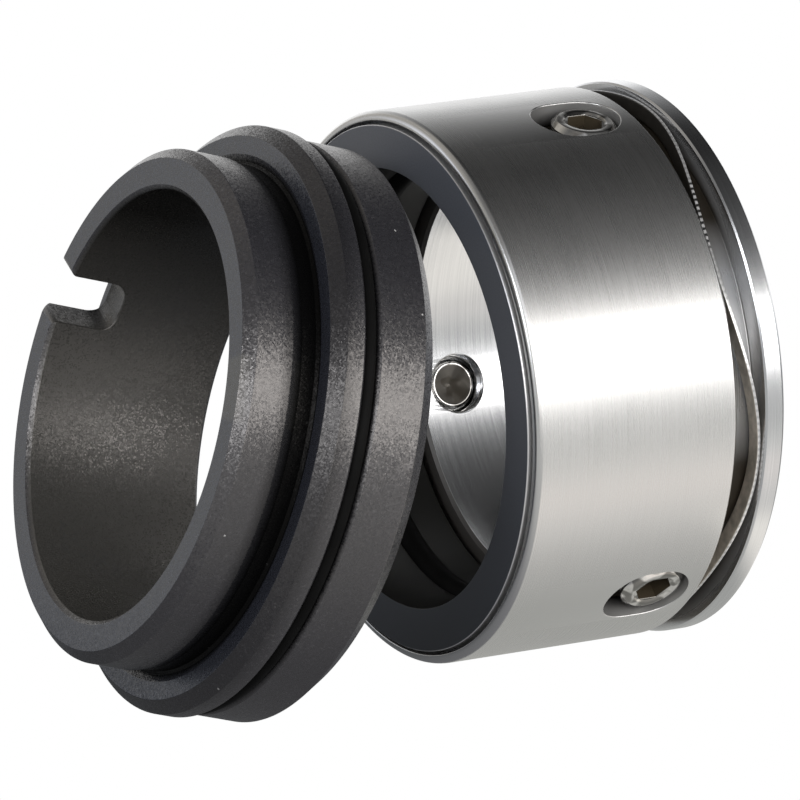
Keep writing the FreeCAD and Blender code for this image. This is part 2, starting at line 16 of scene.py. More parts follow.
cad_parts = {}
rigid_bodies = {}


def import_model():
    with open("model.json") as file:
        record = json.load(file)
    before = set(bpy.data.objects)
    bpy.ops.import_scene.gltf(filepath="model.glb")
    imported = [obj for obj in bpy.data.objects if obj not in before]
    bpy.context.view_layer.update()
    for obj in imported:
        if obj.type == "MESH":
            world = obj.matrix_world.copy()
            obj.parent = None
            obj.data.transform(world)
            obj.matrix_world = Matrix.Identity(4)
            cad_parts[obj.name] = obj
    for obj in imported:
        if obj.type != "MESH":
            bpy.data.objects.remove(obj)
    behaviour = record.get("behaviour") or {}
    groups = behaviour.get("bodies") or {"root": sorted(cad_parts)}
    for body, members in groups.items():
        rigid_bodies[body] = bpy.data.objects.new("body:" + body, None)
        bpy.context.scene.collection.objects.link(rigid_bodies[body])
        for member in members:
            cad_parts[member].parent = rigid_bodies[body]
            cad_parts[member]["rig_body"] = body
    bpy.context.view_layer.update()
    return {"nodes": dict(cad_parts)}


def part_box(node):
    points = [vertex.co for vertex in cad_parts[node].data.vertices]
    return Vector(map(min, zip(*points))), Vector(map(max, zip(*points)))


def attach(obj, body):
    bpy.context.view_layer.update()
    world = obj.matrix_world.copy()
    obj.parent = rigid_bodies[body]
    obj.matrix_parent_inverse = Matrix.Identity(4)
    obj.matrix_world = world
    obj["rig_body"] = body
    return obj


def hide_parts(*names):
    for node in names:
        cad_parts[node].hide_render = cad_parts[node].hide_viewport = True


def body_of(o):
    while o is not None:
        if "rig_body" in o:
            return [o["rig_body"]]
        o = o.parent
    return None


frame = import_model()
MM = 0.001
FRONT = -33.25

# %% [markdown]
# The photograph was taken with a long lens from about a metre away, so the rings look nearly
# like a parallel projection. The camera comes first: its place is worked out from its
# bearing, its height above the horizon and where the sealing face sits in the picture. A
# small shift to the side and down puts that face exactly where the photograph has it.

# %% The camera
AZIMUTH = math.radians(28.7)
ELEVATION = math.radians(14.85)
DISTANCE = 1.0
LENS = 380.25
SHIFT_RIGHT = 0.04
SHIFT_UP = -1.39
face_centre = Vector((FRONT * MM, 0, 0))
look = Vector((math.cos(ELEVATION) * math.sin(AZIMUTH),
               math.cos(ELEVATION) * math.cos(AZIMUTH),
               -math.sin(ELEVATION)))
right = Vector((math.cos(AZIMUTH), -math.sin(AZIMUTH), 0))
upward = right.cross(look)

camera_data = bpy.data.cameras.new("camera")
camera_data.sensor_width = 36
camera_data.lens = LENS
camera_data.clip_start = 0.05
camera_data.clip_end = 20
camera = bpy.data.objects.new("camera", camera_data)
bpy.context.collection.objects.link(camera)
camera.matrix_world = Matrix.Translation(
    face_centre + SHIFT_RIGHT * MM * right + SHIFT_UP * MM * upward - DISTANCE * look
) @ Matrix((right, upward, -look)).transposed().to_4x4()
bpy.context.scene.camera = camera
bpy.context.scene.view_settings.view_transform = "Standard"
print("camera at", [round(v, 3) for v in camera.location])

# %% [markdown]
# Nearly every piece of a seal is turned on a lathe, so its shape is a cross-section that goes
# once round the shaft. A cross-section is written as corners, each with the radius of its
# rounding, and this helper puts an arc in each corner. Real edges are never quite sharp:
# these small arcs are what catches the light.

# %% A rounded outline
SHARP = 0.005
MOST_OF_AN_EDGE = 0.98


def arc_steps(rounding):
    """How many straight bits a corner's arc gets."""
    return 3 if rounding < 0.1 else 4 if rounding < 0.4 else 9


def rounded(corners):
    """The outline as points. Each corner is (along, radius, rounding), in millimetres."""
    spots = [Vector(corner[:2]) for corner in corners]
    ways = []
    for k, here in enumerate(spots):
        before = spots[k - 1] - here
        after = spots[(k + 1) % len(spots)] - here
        half = before.angle(after) / 2
        ways.append((before, after, half, corners[k][2] / math.tan(half)))
    points = []
    for k, here in enumerate(spots):
        before, after, half, wish = ways[k]
        if wish < SHARP:
            points.append(here)
            continue
        reach = wish
        for edge, other in ((before, ways[k - 1][3]), (after, ways[(k + 1) % len(ways)][3])):
            reach = min(reach, MOST_OF_AN_EDGE * edge.length * wish / (wish + other))
        steps = arc_steps(corners[k][2])
        inner = reach * math.tan(half)
        centre = here + (before.normalized() + after.normalized()).normalized() * (
            inner / math.sin(half))
        first = here + before.normalized() * reach - centre
        last = here + after.normalized() * reach - centre
        sweep = first.angle_signed(last)
        for step in range(steps + 1):
            turned = first.copy()
            turned.rotate(Matrix.Rotation(-sweep * step / steps, 2))
            points.append(centre + turned)
    return points


square = [(0, 0, 1), (0, 5, 1), (5, 5, 1), (5, 0, 1)]
print("a square with 1 mm roundings has", len(rounded(square)), "points")

# %% [markdown]
# Now the outline is turned about the shaft's axis. Its copies stand at equal angles, and the
# last is joined to the first, so the ring closes with no seam and no doubled points, which a
# Screw modifier would have to merge. Every new mesh has its faces turned outwards at once.


# %% Turning an outline about the shaft
def mesh_object(name, points, faces):
    """A mesh object from points in millimetres."""
    mesh = bpy.data.meshes.new(name)
    mesh.from_pydata([Vector(p) * MM for p in points], [], faces)
    piece = bpy.data.objects.new(name, mesh)
    bpy.context.collection.objects.link(piece)
    return face_out(piece)


def face_out(piece):
    """Turn every face of a closed mesh outwards."""
    work = bmesh.new()
    work.from_mesh(piece.data)
    bmesh.ops.recalc_face_normals(work, faces=work.faces)
    if work.calc_volume(signed=True) < 0:
        bmesh.ops.reverse_faces(work, faces=work.faces)
    work.to_mesh(piece.data)
    work.free()
    return piece


def around(along, radius, angle):
    """A point at an angle round the shaft, from straight up towards +Y."""
    return (along, radius * math.sin(angle), radius * math.cos(angle))


def turned_ring(name, corners, segments=288):
    """A full turn of a rounded outline about X."""
    outline = rounded(corners)
    points = [around(p[0], p[1], math.tau * k / segments)
              for k in range(segments) for p in outline]
    size = len(outline)
    faces = []
    for k in range(segments):
        for j in range(size):
            j2 = (j + 1) % size
            a, b = k * size, (k + 1) % segments * size
            faces.append((a + j, a + j2, b + j2, b + j))
    return mesh_object(name, points, faces)


print("a quarter turn from straight up lies at", [round(v, 3) for v in around(0, 1, math.pi / 2)])

# %% [markdown]
# Slots, tapped holes and the seat's notch are cut with a shaped tool. The tool is a stack of
# rings: each ring is the cut's outline, pushed outwards by some amount, and laid on a
# cylinder round the shaft of some radius. Because the rings follow the cylinder, the rounded
# lip of a slot has the same width all the way round, as a deburring tool leaves it.


# %% A tool that follows the cylinder
def cutting_tool(name, outline, rings):
    """A closed tool. outline holds (along, across, out_along, out_across) for each point;
    rings holds (push, radius), and push may be a function of the point's number."""
    points = []
    for push, radius in rings:
        for number, (x, y, nx, ny) in enumerate(outline):
            grow = push(number) if callable(push) else push
            px, py = x + nx * grow, y + ny * grow
            points.append((px, py, math.sqrt(max(radius * radius - py * py, 1))))
    size = len(outline)
    faces = [tuple(range(size)), tuple(range(len(points) - 1, len(points) - 1 - size, -1))]
    for ring in range(len(rings) - 1):
        for j in range(size):
            j2 = (j + 1) % size
            a, b = ring * size, (ring + 1) * size
            faces.append((a + j, b + j, b + j2, a + j2))
    return mesh_object(name, points, faces)


LIP_TURN = math.radians(75)
LEAVE_SLOPE = math.tan(math.radians(20))


def lip(surface, rounding, outward=1, steps=4, leave=2.4):
    """Rings that round a cut's edge where it meets a cylinder, then leave the material."""
    rings = []
    for k in range(steps):
        turn = LIP_TURN * k / (steps - 1)
        rings.append((rounding * (1 - math.cos(turn)),
                      surface + outward * rounding * (math.sin(turn) - 1)))
    push, radius = rings[-1]
    rings.append((push + leave, radius + outward * leave * LEAVE_SLOPE))
    return rings


print("a slot's lip is cut by", len(lip(33, 0.16)), "rings")

# %% [markdown]
# The cut itself is a Boolean modifier with the exact solver, which keeps thin lips and
# threads whole. The piece is then replaced by its own evaluated mesh, so that no modifier is
# left on it, and the tools are thrown away.


# %% Making the cut
def plain_mesh(piece, *settings):
    """Apply modifiers, each (type, {option: value}), and leave a plain mesh."""
    for kind, options in settings:
        modifier = piece.modifiers.new(kind.lower(), kind)
        for option, value in options.items():
            setattr(modifier, option, value)
    bpy.context.view_layer.update()
    seen = piece.evaluated_get(bpy.context.evaluated_depsgraph_get())
    mesh = bpy.data.meshes.new_from_object(seen)
    piece.modifiers.clear()
    old = piece.data
    piece.data = mesh
    bpy.data.meshes.remove(old)
    mesh.name = piece.name


def cut_with(piece, *tools):
    """Cut the piece with each tool, and throw the tools away."""
    plain_mesh(piece, *[("BOOLEAN", {"operation": "DIFFERENCE", "solver": "EXACT",
                                     "object": tool}) for tool in tools])
    for tool in tools:
        bpy.data.objects.remove(tool)


print("cutting helpers ready:", [f.__name__ for f in (plain_mesh, cut_with)])

# %% [markdown]
# Three slots and three holes sit at equal angles, so one tool is made and a Geometry Nodes
# group will turn copies of it round the shaft. Wiring nodes by hand takes many lines, so a
# small Graph class comes first: it adds a node, and links or sets each of its inputs. The
# shaders below use it too.


# %% Node graphs
class Graph:
    """Adds nodes to a node tree, and links whatever is a socket."""

    def __init__(self, tree):
        self.tree = tree

    def add(self, kind, inputs=(), output=0, **options):
        node = self.tree.nodes.new(kind)
        for option, value in options.items():
            setattr(node, option, value)
        pairs = inputs.items() if isinstance(inputs, dict) else enumerate(inputs)
        for key, value in pairs:
            if isinstance(value, bpy.types.NodeSocket):
                self.tree.links.new(value, node.inputs[key])
            else:
                node.inputs[key].default_value = value
        return node.outputs[output] if node.outputs else node

    def math(self, operation, *values, clamp=False):
        return self.add("ShaderNodeMath", values, operation=operation, use_clamp=clamp)


print("a Graph has", [way for way in vars(Graph) if not way.startswith("_")])

# %% [markdown]
# A group's sockets have names, so each use of it can give its own sizes. A geometry group
# runs on a piece as a modifier. Its inputs are set by the sockets' identifiers, before the
# piece is first evaluated, and then the piece is made a plain mesh.


# %% Making and running a group
def new_group(name, kind, sockets):
    """A node group with named sockets: (name, type, default) in, and a leading > for out."""
    tree = bpy.data.node_groups.new(name, kind)
    for label, socket_type, default in sockets:
        way = "OUTPUT" if label.startswith(">") else "INPUT"
        socket = tree.interface.new_socket(
            label.lstrip(">"), in_out=way, socket_type="NodeSocket" + socket_type)
        if default is not None:
            socket.default_value = default
    graph = Graph(tree)
    source = tree.nodes.new("NodeGroupInput")
    target = tree.nodes.new("NodeGroupOutput")
    return graph, source.outputs, target.inputs


def run_nodes(piece, tree, **values):
    """Run a geometry group on a piece with named inputs, and leave a plain mesh."""
    modifier = piece.modifiers.new(tree.name, "NODES")
    modifier.node_group = tree
    for item in tree.interface.items_tree:
        label = item.name.replace(" ", "_").lower()
        if item.in_out == "INPUT" and label in values:
            modifier[item.identifier] = values[label]
    plain_mesh(piece)


print("group helpers ready:", [f.__name__ for f in (new_group, run_nodes)])

# %% [markdown]
# The pattern itself is short: a line of points on one spot, one for each copy, and an
# instance on each point, turned by its share of the full turn. Its inputs are the count and
# the first angle. It copies cutting tools only, so it ends in Realize Instances and sets no
# material. The screws and slots stand 12.4 degrees from straight up.

# %% A pattern round the shaft
SCREW_ANGLE = math.radians(-12.4)
graph, given, result = new_group("turn_copies", "GeometryNodeTree", [
    ("Geometry", "Geometry", None), ("Count", "Int", 3), ("First Angle", "Float", 0.0),
    (">Geometry", "Geometry", None)])
places = graph.add("GeometryNodeMeshLine", {"Count": given["Count"],
                                            "Offset": (0, 0, 0)})
index = graph.add("GeometryNodeInputIndex")
angle = graph.math("ADD", graph.math(
    "MULTIPLY", index, graph.math("DIVIDE", math.tau, given["Count"])), given["First Angle"])
turn = graph.add("ShaderNodeCombineXYZ", {"X": graph.math("MULTIPLY", angle, -1.0)})
copies = graph.add("GeometryNodeInstanceOnPoints", {
    "Points": places, "Instance": given["Geometry"], "Rotation": turn})
graph.tree.links.new(graph.add("GeometryNodeRealizeInstances", [copies]), result[0])
turn_copies = graph.tree
print("pattern group:", turn_copies.name, "with", len(turn_copies.nodes), "nodes")

# %% [markdown]
# Light slides over these parts, so their normals have to be exact. After a cut, Blender's
# own averaging would smear the highlight round each slot. Here each vertex takes the normal
# of its largest faces, and where that is within a few degrees of straight out from the
# shaft, it becomes exactly straight out. The same pass marks the vertices on tight curves
# with an attribute called rim, so that a material can smooth the edges and lighten them, a
# painted highlight. Other marks follow a rule that is given for the piece, such as a painted
# shade for its hollows.

# %% Exact normals and an edge mark
STRAIGHT_OUT = math.cos(math.radians(4))
RIM_FROM = 6
RIM_FULL = 16


def finished(piece):
    """Smooth shading with exact normals, and the rim attribute."""
    mesh = piece.data
    mesh.polygons.foreach_set("use_smooth", [True] * len(mesh.polygons))
    work = bmesh.new()
    work.from_mesh(mesh)
    normals = []
    rim = mesh.attributes.new("rim", "FLOAT", "POINT")
    marks = []
    for vertex in work.verts:
        total = Vector()
        for face in vertex.link_faces:
            total += face.normal * face.calc_area()
        normal = total.normalized() if total.length else Vector((0, 0, 1))
        spoke = Vector((0, vertex.co.y, vertex.co.z)).normalized()
        lean = normal.dot(spoke)
        if abs(lean) > STRAIGHT_OUT:
            normal = spoke * (1 if lean > 0 else -1)
        normals.append(normal)
        bend = math.degrees(max([e.calc_face_angle(0) for e in vertex.link_edges] or [0]))
        marks.append(min(max((bend - RIM_FROM) / (RIM_FULL - RIM_FROM), 0), 1))
    work.free()
    rim.data.foreach_set("value", marks)
    mesh.normals_split_custom_set_from_vertices(normals)
    return piece


def mark(piece, label, rule):
    """A value for each vertex, by a rule on (along, radius, angle) in mm and degrees."""
    values = []
    for vertex in piece.data.vertices:
        x, y, z = vertex.co / MM
        values.append(rule(x, math.hypot(y, z), math.degrees(math.atan2(y, z))))
    piece.data.attributes.new(label, "FLOAT", "POINT").data.foreach_set("value", values)


print("rims are marked from %d degrees, and in full from %d" % (RIM_FROM, RIM_FULL))

# %% [markdown]
# Every finished piece goes through the same last step. It gets its material, it says which
# CAD node it replaces, that node is hidden, and it rides on the node's body, so that a pose
# moves both alike.


def dress(piece, node, material):
    """The piece takes a CAD node's place and body, and gets its material."""
    body = body_of(frame["nodes"][node])[0]
    piece.data.materials.clear()
    piece.data.materials.append(material)
    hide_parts(node)
    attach(piece, body)
    print("%-16s for %-12s on %-8s %6d faces" % (
        piece.name, node, body, len(piece.data.polygons)))


# %% [markdown]
# Stainless steel parts here are brushed or turned: hundreds of fine lines run round the
# shaft. A noise that is squeezed hard along the shaft and hardly at all across it gives such
# lines on any turned surface, with no seam. One group makes the lines, and a slow cloud of
# unevenness beside them. Each steel mixes both into its colour, roughness and bump.

# %% Lines round the shaft
graph, given, result = new_group("turned_lines", "ShaderNodeTree", [
    ("Fineness", "Float", 9000.0), ("Streak", "Float", 60.0), (">Lines", "Float", None),
    (">Cloud", "Float", None)])
place = graph.add("ShaderNodeTexCoord", output="Object")
apart = graph.add("ShaderNodeSeparateXYZ", [place]).node
squeezed = graph.add("ShaderNodeCombineXYZ", {
    "X": graph.math("MULTIPLY", apart.outputs[0], given["Fineness"]),
    "Y": graph.math("MULTIPLY", apart.outputs[1], given["Streak"]),
    "Z": graph.math("MULTIPLY", apart.outputs[2], given["Streak"])})
lines = graph.add("ShaderNodeTexNoise", {"Vector": squeezed, "Scale": 1.0, "Detail": 4.0,
                                         "Roughness": 0.65})
cloud = graph.add("ShaderNodeTexNoise", {"Vector": place, "Scale": 130.0, "Detail": 3.0})
graph.tree.links.new(lines, result[0])
graph.tree.links.new(cloud, result[1])
turned_lines = graph.tree
print("line group puts out:", [socket.name for socket in result if socket.name])

# %% [markdown]
# Each piece's material is a Principled shader with nodes in front of it. These two helpers
# make an empty one, and wire its sockets by name.


# %% An empty material
def new_material(name):
    """A material with an empty graph, its Principled shader and its output."""
    material = bpy.data.materials.new(name)
    material.use_nodes = True
    tree = material.node_tree
    shader = next(n for n in tree.nodes if n.type == "BSDF_PRINCIPLED")
    return material, Graph(tree), shader


def wire(graph, shader, **sockets):
    """Link or set the shader's sockets by name, with _ for a space."""
    for label, value in sockets.items():
        socket = shader.inputs[label.replace("_", " ")]
        if isinstance(value, bpy.types.NodeSocket):
            graph.tree.links.new(value, socket)
        else:
            socket.default_value = value


print("material helpers ready:", [f.__name__ for f in (new_material, wire)])

# %% [markdown]
# Two nodes are needed most: a ramp that turns a value into tones, and a mix of two colours.
# The others here read a mark that a piece carries, the place of the spot being shaded, and the
# way the surface faces.


# %% Nodes that many materials use
def ramp(graph, value, *stops):
    """A colour ramp with stops (place, grey or colour)."""
    socket = graph.add("ShaderNodeValToRGB", [value])
    band = socket.node.color_ramp
    while len(band.elements) < len(stops):
        band.elements.new(0.5)
    for element, (at, shade) in zip(band.elements, stops):
        element.position = at
        colour = shade if isinstance(shade, tuple) else (shade,) * 3
        element.color = (*colour, 1)
    return socket


def blend(graph, factor, first, second):
    """A mix of two colours, whose sockets on a Mix node are numbers 6 and 7."""
    return graph.add("ShaderNodeMix", {0: factor, 6: first, 7: second}, output=2,
                     data_type="RGBA")


def marked(graph, label):
    """The value of a mark on the piece."""
    return graph.add("ShaderNodeAttribute", output="Fac", attribute_name=label)


def object_place(graph):
    """The spot being shaded, in the object's own metres."""
    return graph.add("ShaderNodeTexCoord", output="Object")


def parts_of(graph, vector):
    """The three parts of a vector."""
    return graph.add("ShaderNodeSeparateXYZ", [vector]).node.outputs


def surface_way(graph):
    """Which way the surface faces."""
    return graph.add("ShaderNodeNewGeometry", output="Normal")


print("node helpers ready:", [f.__name__ for f in (ramp, blend, marked, object_place,
                                                  parts_of, surface_way)])

# %% [markdown]
# Three steels share one recipe. The carrier's shell is finely brushed, the collar is plainly
# turned, and the screws are bright with a film of oil, which a patchy noise lays over them.
# Edges marked as rims are a little smoother, and their colour is lifted to the light tone, a
# painted highlight. Hollows marked as deep get painted shade, a dark colour with less metal,
# and lose their shine, because in a narrow gap the real metal mirrors only the dark piece
# opposite.

# %% The steels
# Tones of painted shade for the hollows; the screws' one is oily as well.
OIL_TONE = (0.1, 0.095, 0.085, 1)
DRY_PAINTED_SHADE = (0.014, 0.013, 0.012, 1)
WARM_PAINTED_SHADE = (0.03, 0.024, 0.017, 1)
OILY_PAINTED_SHADE = (0.065, 0.052, 0.034, 1)


def steel(name, dark, light, rough, fineness, streak, bump, shine, hollow_painted_shade, oil=0.0):
    """Lined steel with a painted highlight on edges, painted shade in hollows and a film of oil.
    """
    material, graph, shader = new_material(name)
    group = graph.add("ShaderNodeGroup", node_tree=turned_lines).node
    group.inputs["Fineness"].default_value = fineness
    group.inputs["Streak"].default_value = streak
    edge = marked(graph, "rim")
    tone = ramp(graph, group.outputs["Lines"], (0.3, dark), (0.7, light))
    # Painted highlight: rims lifted towards the light tone.
    tone_with_painted_light = blend(graph, edge, tone, (*light, 1))
    deep = marked(graph, "deep")
    film = graph.add("ShaderNodeTexNoise", {
        "Scale": 420.0, "Detail": 1.0, "Vector": object_place(graph)})
    film = graph.math("MULTIPLY", ramp(graph, film, (0.47, 0.0), (0.53, 1.0)), oil)
    tone_with_painted_light = blend(graph, film, tone_with_painted_light, OIL_TONE)
    # Painted shade: hollows marked deep take the shade tone.
    tone_with_painted_light = blend(graph, deep, tone_with_painted_light, hollow_painted_shade)
    gloss = graph.math("MULTIPLY_ADD", group.outputs["Lines"], 0.1, rough - 0.05)
    gloss = graph.math("MULTIPLY_ADD", group.outputs["Cloud"], 0.05, gloss)
    gloss = graph.math("MULTIPLY_ADD", edge, -0.06, gloss)
    gloss = graph.math("MULTIPLY_ADD", deep, 0.2, gloss, clamp=True)
    relief = graph.add("ShaderNodeBump", {"Strength": bump, "Distance": 0.00002,
                                          "Height": group.outputs["Lines"]})
    tangent = graph.add("ShaderNodeTangent", direction_type="RADIAL", axis="X")
    wire(graph, shader, Base_Color=tone_with_painted_light, Roughness=gloss, Normal=relief,
         Metallic=graph.math("MULTIPLY_ADD", deep, -0.9, 1.0),
         Anisotropic=shine, Tangent=tangent)
    return material


shell_steel = steel(
    "shell_steel", dark=(0.69, 0.69, 0.685), light=(0.745, 0.745, 0.74), rough=0.25,
    fineness=14000, streak=40, bump=0.08, shine=0.6, hollow_painted_shade=DRY_PAINTED_SHADE)
turned_steel = steel(
    "turned_steel", dark=(0.62, 0.63, 0.645), light=(0.74, 0.75, 0.765), rough=0.2,
    fineness=6000, streak=30, bump=0.08, shine=0.4, hollow_painted_shade=WARM_PAINTED_SHADE)
screw_steel = steel(
    "screw_steel", dark=(0.72, 0.71, 0.69), light=(0.9, 0.89, 0.87), rough=0.12,
    fineness=900, streak=900, bump=0.3, shine=0.0, hollow_painted_shade=OILY_PAINTED_SHADE, oil=0.75)
print("steels:", [m.name for m in (shell_steel, turned_steel, screw_steel)])

# %% [markdown]
# The spring strip is dull brown on its two flat sides, where oil and heat have tinted it; the
# flat sides are darker than its bright cut outer edge partly as a painted reflection of the
# dark gap they face. Towards its top the strip is painted nearly black, a painted shade where
# it lies deep in its gap.
# Along one stretch that edge carries the nicks of its shearing, a regular comb. The nicks are
# too small to model, so a sine of the bearing round the shaft makes them, in colour and bump.

# %% The spring's strip
NICKS_PER_TURN = 254.0
NICKED_AT = -0.78
TOP_SHADE_TONE = (0.012, 0.011, 0.01, 1)
spring_steel, graph, shader = new_material("spring_steel")
spot = parts_of(graph, object_place(graph))
facing = parts_of(graph, surface_way(graph))
# Flat sides darker than the edge, partly a painted reflection of the dark gap.
flat = ramp(graph, graph.math("ABSOLUTE", facing[0]), (0.3, 0.0), (0.8, 1.0))
bearing = graph.math("ARCTAN2", spot[1], spot[2])
comb = graph.math("SINE", graph.math("MULTIPLY", NICKS_PER_TURN, bearing))
sheared = ramp(graph, graph.math("ABSOLUTE", graph.math("SUBTRACT", bearing, NICKED_AT)),
               (0.1, 1.0), (0.16, 0.15))
comb = graph.math("MULTIPLY", comb, sheared)
nicks = ramp(graph, graph.math("MULTIPLY_ADD", comb, 0.5, 0.5), (0.25, 0.06), (0.5, 0.75),
             (0.75, 1.0))
stain = graph.add("ShaderNodeTexNoise", {
    "Scale": 700.0, "Detail": 3.0, "Vector": object_place(graph)})
tint = ramp(graph, stain, (0.35, (0.34, 0.31, 0.26)), (0.65, (0.6, 0.54, 0.46)))
# Painted shade: the strip darkens towards its top.
top_painted_shade = ramp(graph, graph.math("MULTIPLY_ADD", spot[2], 15.0, 0.5), (0.5, 0.0), (0.8, 0.95))
tint = blend(graph, top_painted_shade, tint, TOP_SHADE_TONE)
relief = graph.add("ShaderNodeBump", {"Strength": 0.25, "Distance": 0.00003, "Height": comb})
wire(graph, shader, Base_Color=blend(graph, flat, nicks, tint), Normal=relief,
     Metallic=graph.math("MULTIPLY_ADD", flat, -0.25, 0.6),
     Roughness=graph.math("MULTIPLY_ADD", flat, 0.15, 0.2))
print("nicks on the spring's edge:", int(NICKS_PER_TURN), "to the turn")

# %% [markdown]
# The sealing rings are silicon carbide. The rotating one is lapped flat, to an even slate
# colour, and its outer edge is ground bright. One material does all of it: it tells the
# face, the ground edge and the bore apart by the way the surface faces and by the distance
# from the shaft's axis, and darkens the bore with painted shade. The lower half is darker by
# painted shade, as its reflections are in the photograph.

# %% The lapped face
GROUND_BEYOND = 0.030
BORED_WITHIN = 0.0285
SIDE_BELOW = 0.8
lapped, graph, shader = new_material("lapped_carbide")
place = object_place(graph)
grain = graph.add("ShaderNodeTexNoise", {"Vector": place, "Scale": 5200.0, "Detail": 3.0})
cloud = graph.add("ShaderNodeTexNoise", {"Vector": place, "Scale": 90.0, "Detail": 2.0})
tone = ramp(graph, grain, (0.3, (0.085, 0.094, 0.113)), (0.7, (0.12, 0.131, 0.156)))
facing = parts_of(graph, surface_way(graph))
spot = parts_of(graph, place)
out = graph.math("SQRT", graph.math("ADD", graph.math("MULTIPLY", spot[1], spot[1]),
                                    graph.math("MULTIPLY", spot[2], spot[2])))
side = graph.math("LESS_THAN", graph.math("ABSOLUTE", facing[0]), SIDE_BELOW)
ground = graph.math("MULTIPLY", graph.math("GREATER_THAN", out, GROUND_BEYOND), side)
bore_painted_shade = graph.math("MULTIPLY", graph.math("LESS_THAN", out, BORED_WITHIN), side)
# Painted shade: the lower half darker.
lower_half_shade = ramp(graph, graph.math("MULTIPLY_ADD", spot[2], 16.0, 0.5),
                  (0.0, 0.85), (0.5, 0.35), (0.9, 0.0))
tone = blend(graph, lower_half_shade, tone, (0.012, 0.014, 0.017, 1))
# Painted shade: the bore nearly black.
tone = blend(graph, bore_painted_shade, tone, (0.014, 0.014, 0.013, 1))
wire(graph, shader, Base_Color=blend(graph, ground, tone, (0.8, 0.8, 0.81, 1)), IOR=1.55,
     Specular_IOR_Level=graph.math("MULTIPLY_ADD", bore_painted_shade, -0.4, 0.5),
     Metallic=graph.math("MULTIPLY", ground, 0.9),
     Roughness=graph.math("MULTIPLY_ADD", cloud, 0.1, 0.3),
     Normal=graph.add("ShaderNodeBump", {"Strength": 0.08, "Distance": 0.00001,
                                         "Height": grain}))
print("made", lapped.name)

# %% [markdown]
# The seat is left as sintered: dark grey, with crystals that sparkle where the light grazes
# them, a few tiny pale chips, edges lightened as a painted highlight, undercuts darkened with
# painted shade, and the bore and the notch's walls lifted with painted light. Each crystal is
# a Voronoi cell whose random colour tilts the normal a little, which sparkles as real facets
# do and costs no geometry. The flat faces mirror a cooler part of the room than the round
# ones, so their colour and the tint of their shine are painted cooler, a painted reflection;
# they are told apart by the seat's own axis, which leans as the seat does in the photograph.

# %% The sintered seat
LEAN = math.radians(16.8)
TWIST = math.radians(14.85)
CRYSTAL_TILT = (0.18, 0.18, 0.18)
over = Matrix.Rotation(LEAN, 4, Vector((0, math.cos(TWIST), -math.sin(TWIST))))
seat_axis = over.to_3x3() @ Vector((1, 0, 0))
carbide, graph, shader = new_material("sintered_carbide")
place = object_place(graph)
grain = graph.add("ShaderNodeTexNoise", {"Vector": place, "Scale": 2600.0, "Detail": 4.0,
                                         "Roughness": 0.7})
cells = graph.add("ShaderNodeTexVoronoi", {"Vector": place, "Scale": 6000.0}, output="Color")
chips = graph.add("ShaderNodeTexVoronoi", {"Vector": place, "Scale": 250.0},
                  output="Distance")
cloud = graph.add("ShaderNodeTexNoise", {"Vector": place, "Scale": 70.0, "Detail": 3.0})
# Painted highlight: the edges marked as rims are lighter.
edge = graph.math("POWER", marked(graph, "rim"), 6.0)
shade = graph.math("MULTIPLY_ADD", edge, 0.3, graph.math(
    "MULTIPLY_ADD", cloud, 0.25, graph.math("MULTIPLY", grain, 0.8)), clamp=True)
tone = ramp(graph, shade, (0.25, (0.016, 0.016, 0.019)), (0.6, (0.028, 0.028, 0.034)),
            (1.0, (0.2, 0.2, 0.205)))
speck = ramp(graph, chips, (0.028, 1.0), (0.042, 0.0))
mixed = blend(graph, speck, tone, (0.5, 0.5, 0.5, 1))
facing = graph.add("ShaderNodeVectorMath", [surface_way(graph), seat_axis],
                   operation="DOT_PRODUCT", output="Value")
# Painted reflection: flat faces take a cooler colour.
flat = ramp(graph, graph.math("ABSOLUTE", facing), (0.85, 0.0), (0.97, 1.0))
mixed = blend(graph, flat, mixed, (0.026, 0.028, 0.038, 1))
# Painted light: the bore and the notch's walls paler and warmer.
mixed = blend(graph, marked(graph, "bore"), mixed, (0.066, 0.064, 0.059, 1))
# Painted shade: places marked dark go nearly black.
dark = marked(graph, "dark")
mixed = blend(graph, dark, mixed, (0.002, 0.002, 0.002, 1))
sparkle = graph.add("ShaderNodeSeparateColor", [cells])
relief = graph.add("ShaderNodeBump", {"Strength": 0.1, "Distance": 0.00003, "Height": grain})
tilt = graph.add("ShaderNodeVectorMath", [cells, (-0.5, -0.5, -0.5)], operation="ADD")
tilt = graph.add("ShaderNodeVectorMath", [tilt, CRYSTAL_TILT, relief],
                 operation="MULTIPLY_ADD")
wire(graph, shader, Base_Color=mixed, IOR=2.0,
     Specular_IOR_Level=graph.math("MULTIPLY_ADD", dark, -0.48, 0.5),
     Specular_Tint=blend(graph, flat, (1.0, 0.96, 0.93, 1), (0.93, 0.96, 1.0, 1)),
     Roughness=graph.math("MULTIPLY_ADD", sparkle, 0.12, 0.25),
     Normal=graph.add("ShaderNodeVectorMath", [tilt], operation="NORMALIZE"))
print("made", carbide.name, "for an axis along", [round(v, 4) for v in seat_axis])

# %% [markdown]
# Both O-rings are nitrile or a like rubber: almost black, with a soft sheen and a trace of
# the mould's texture. They lie in shade, so a plain noise for the skin is enough.

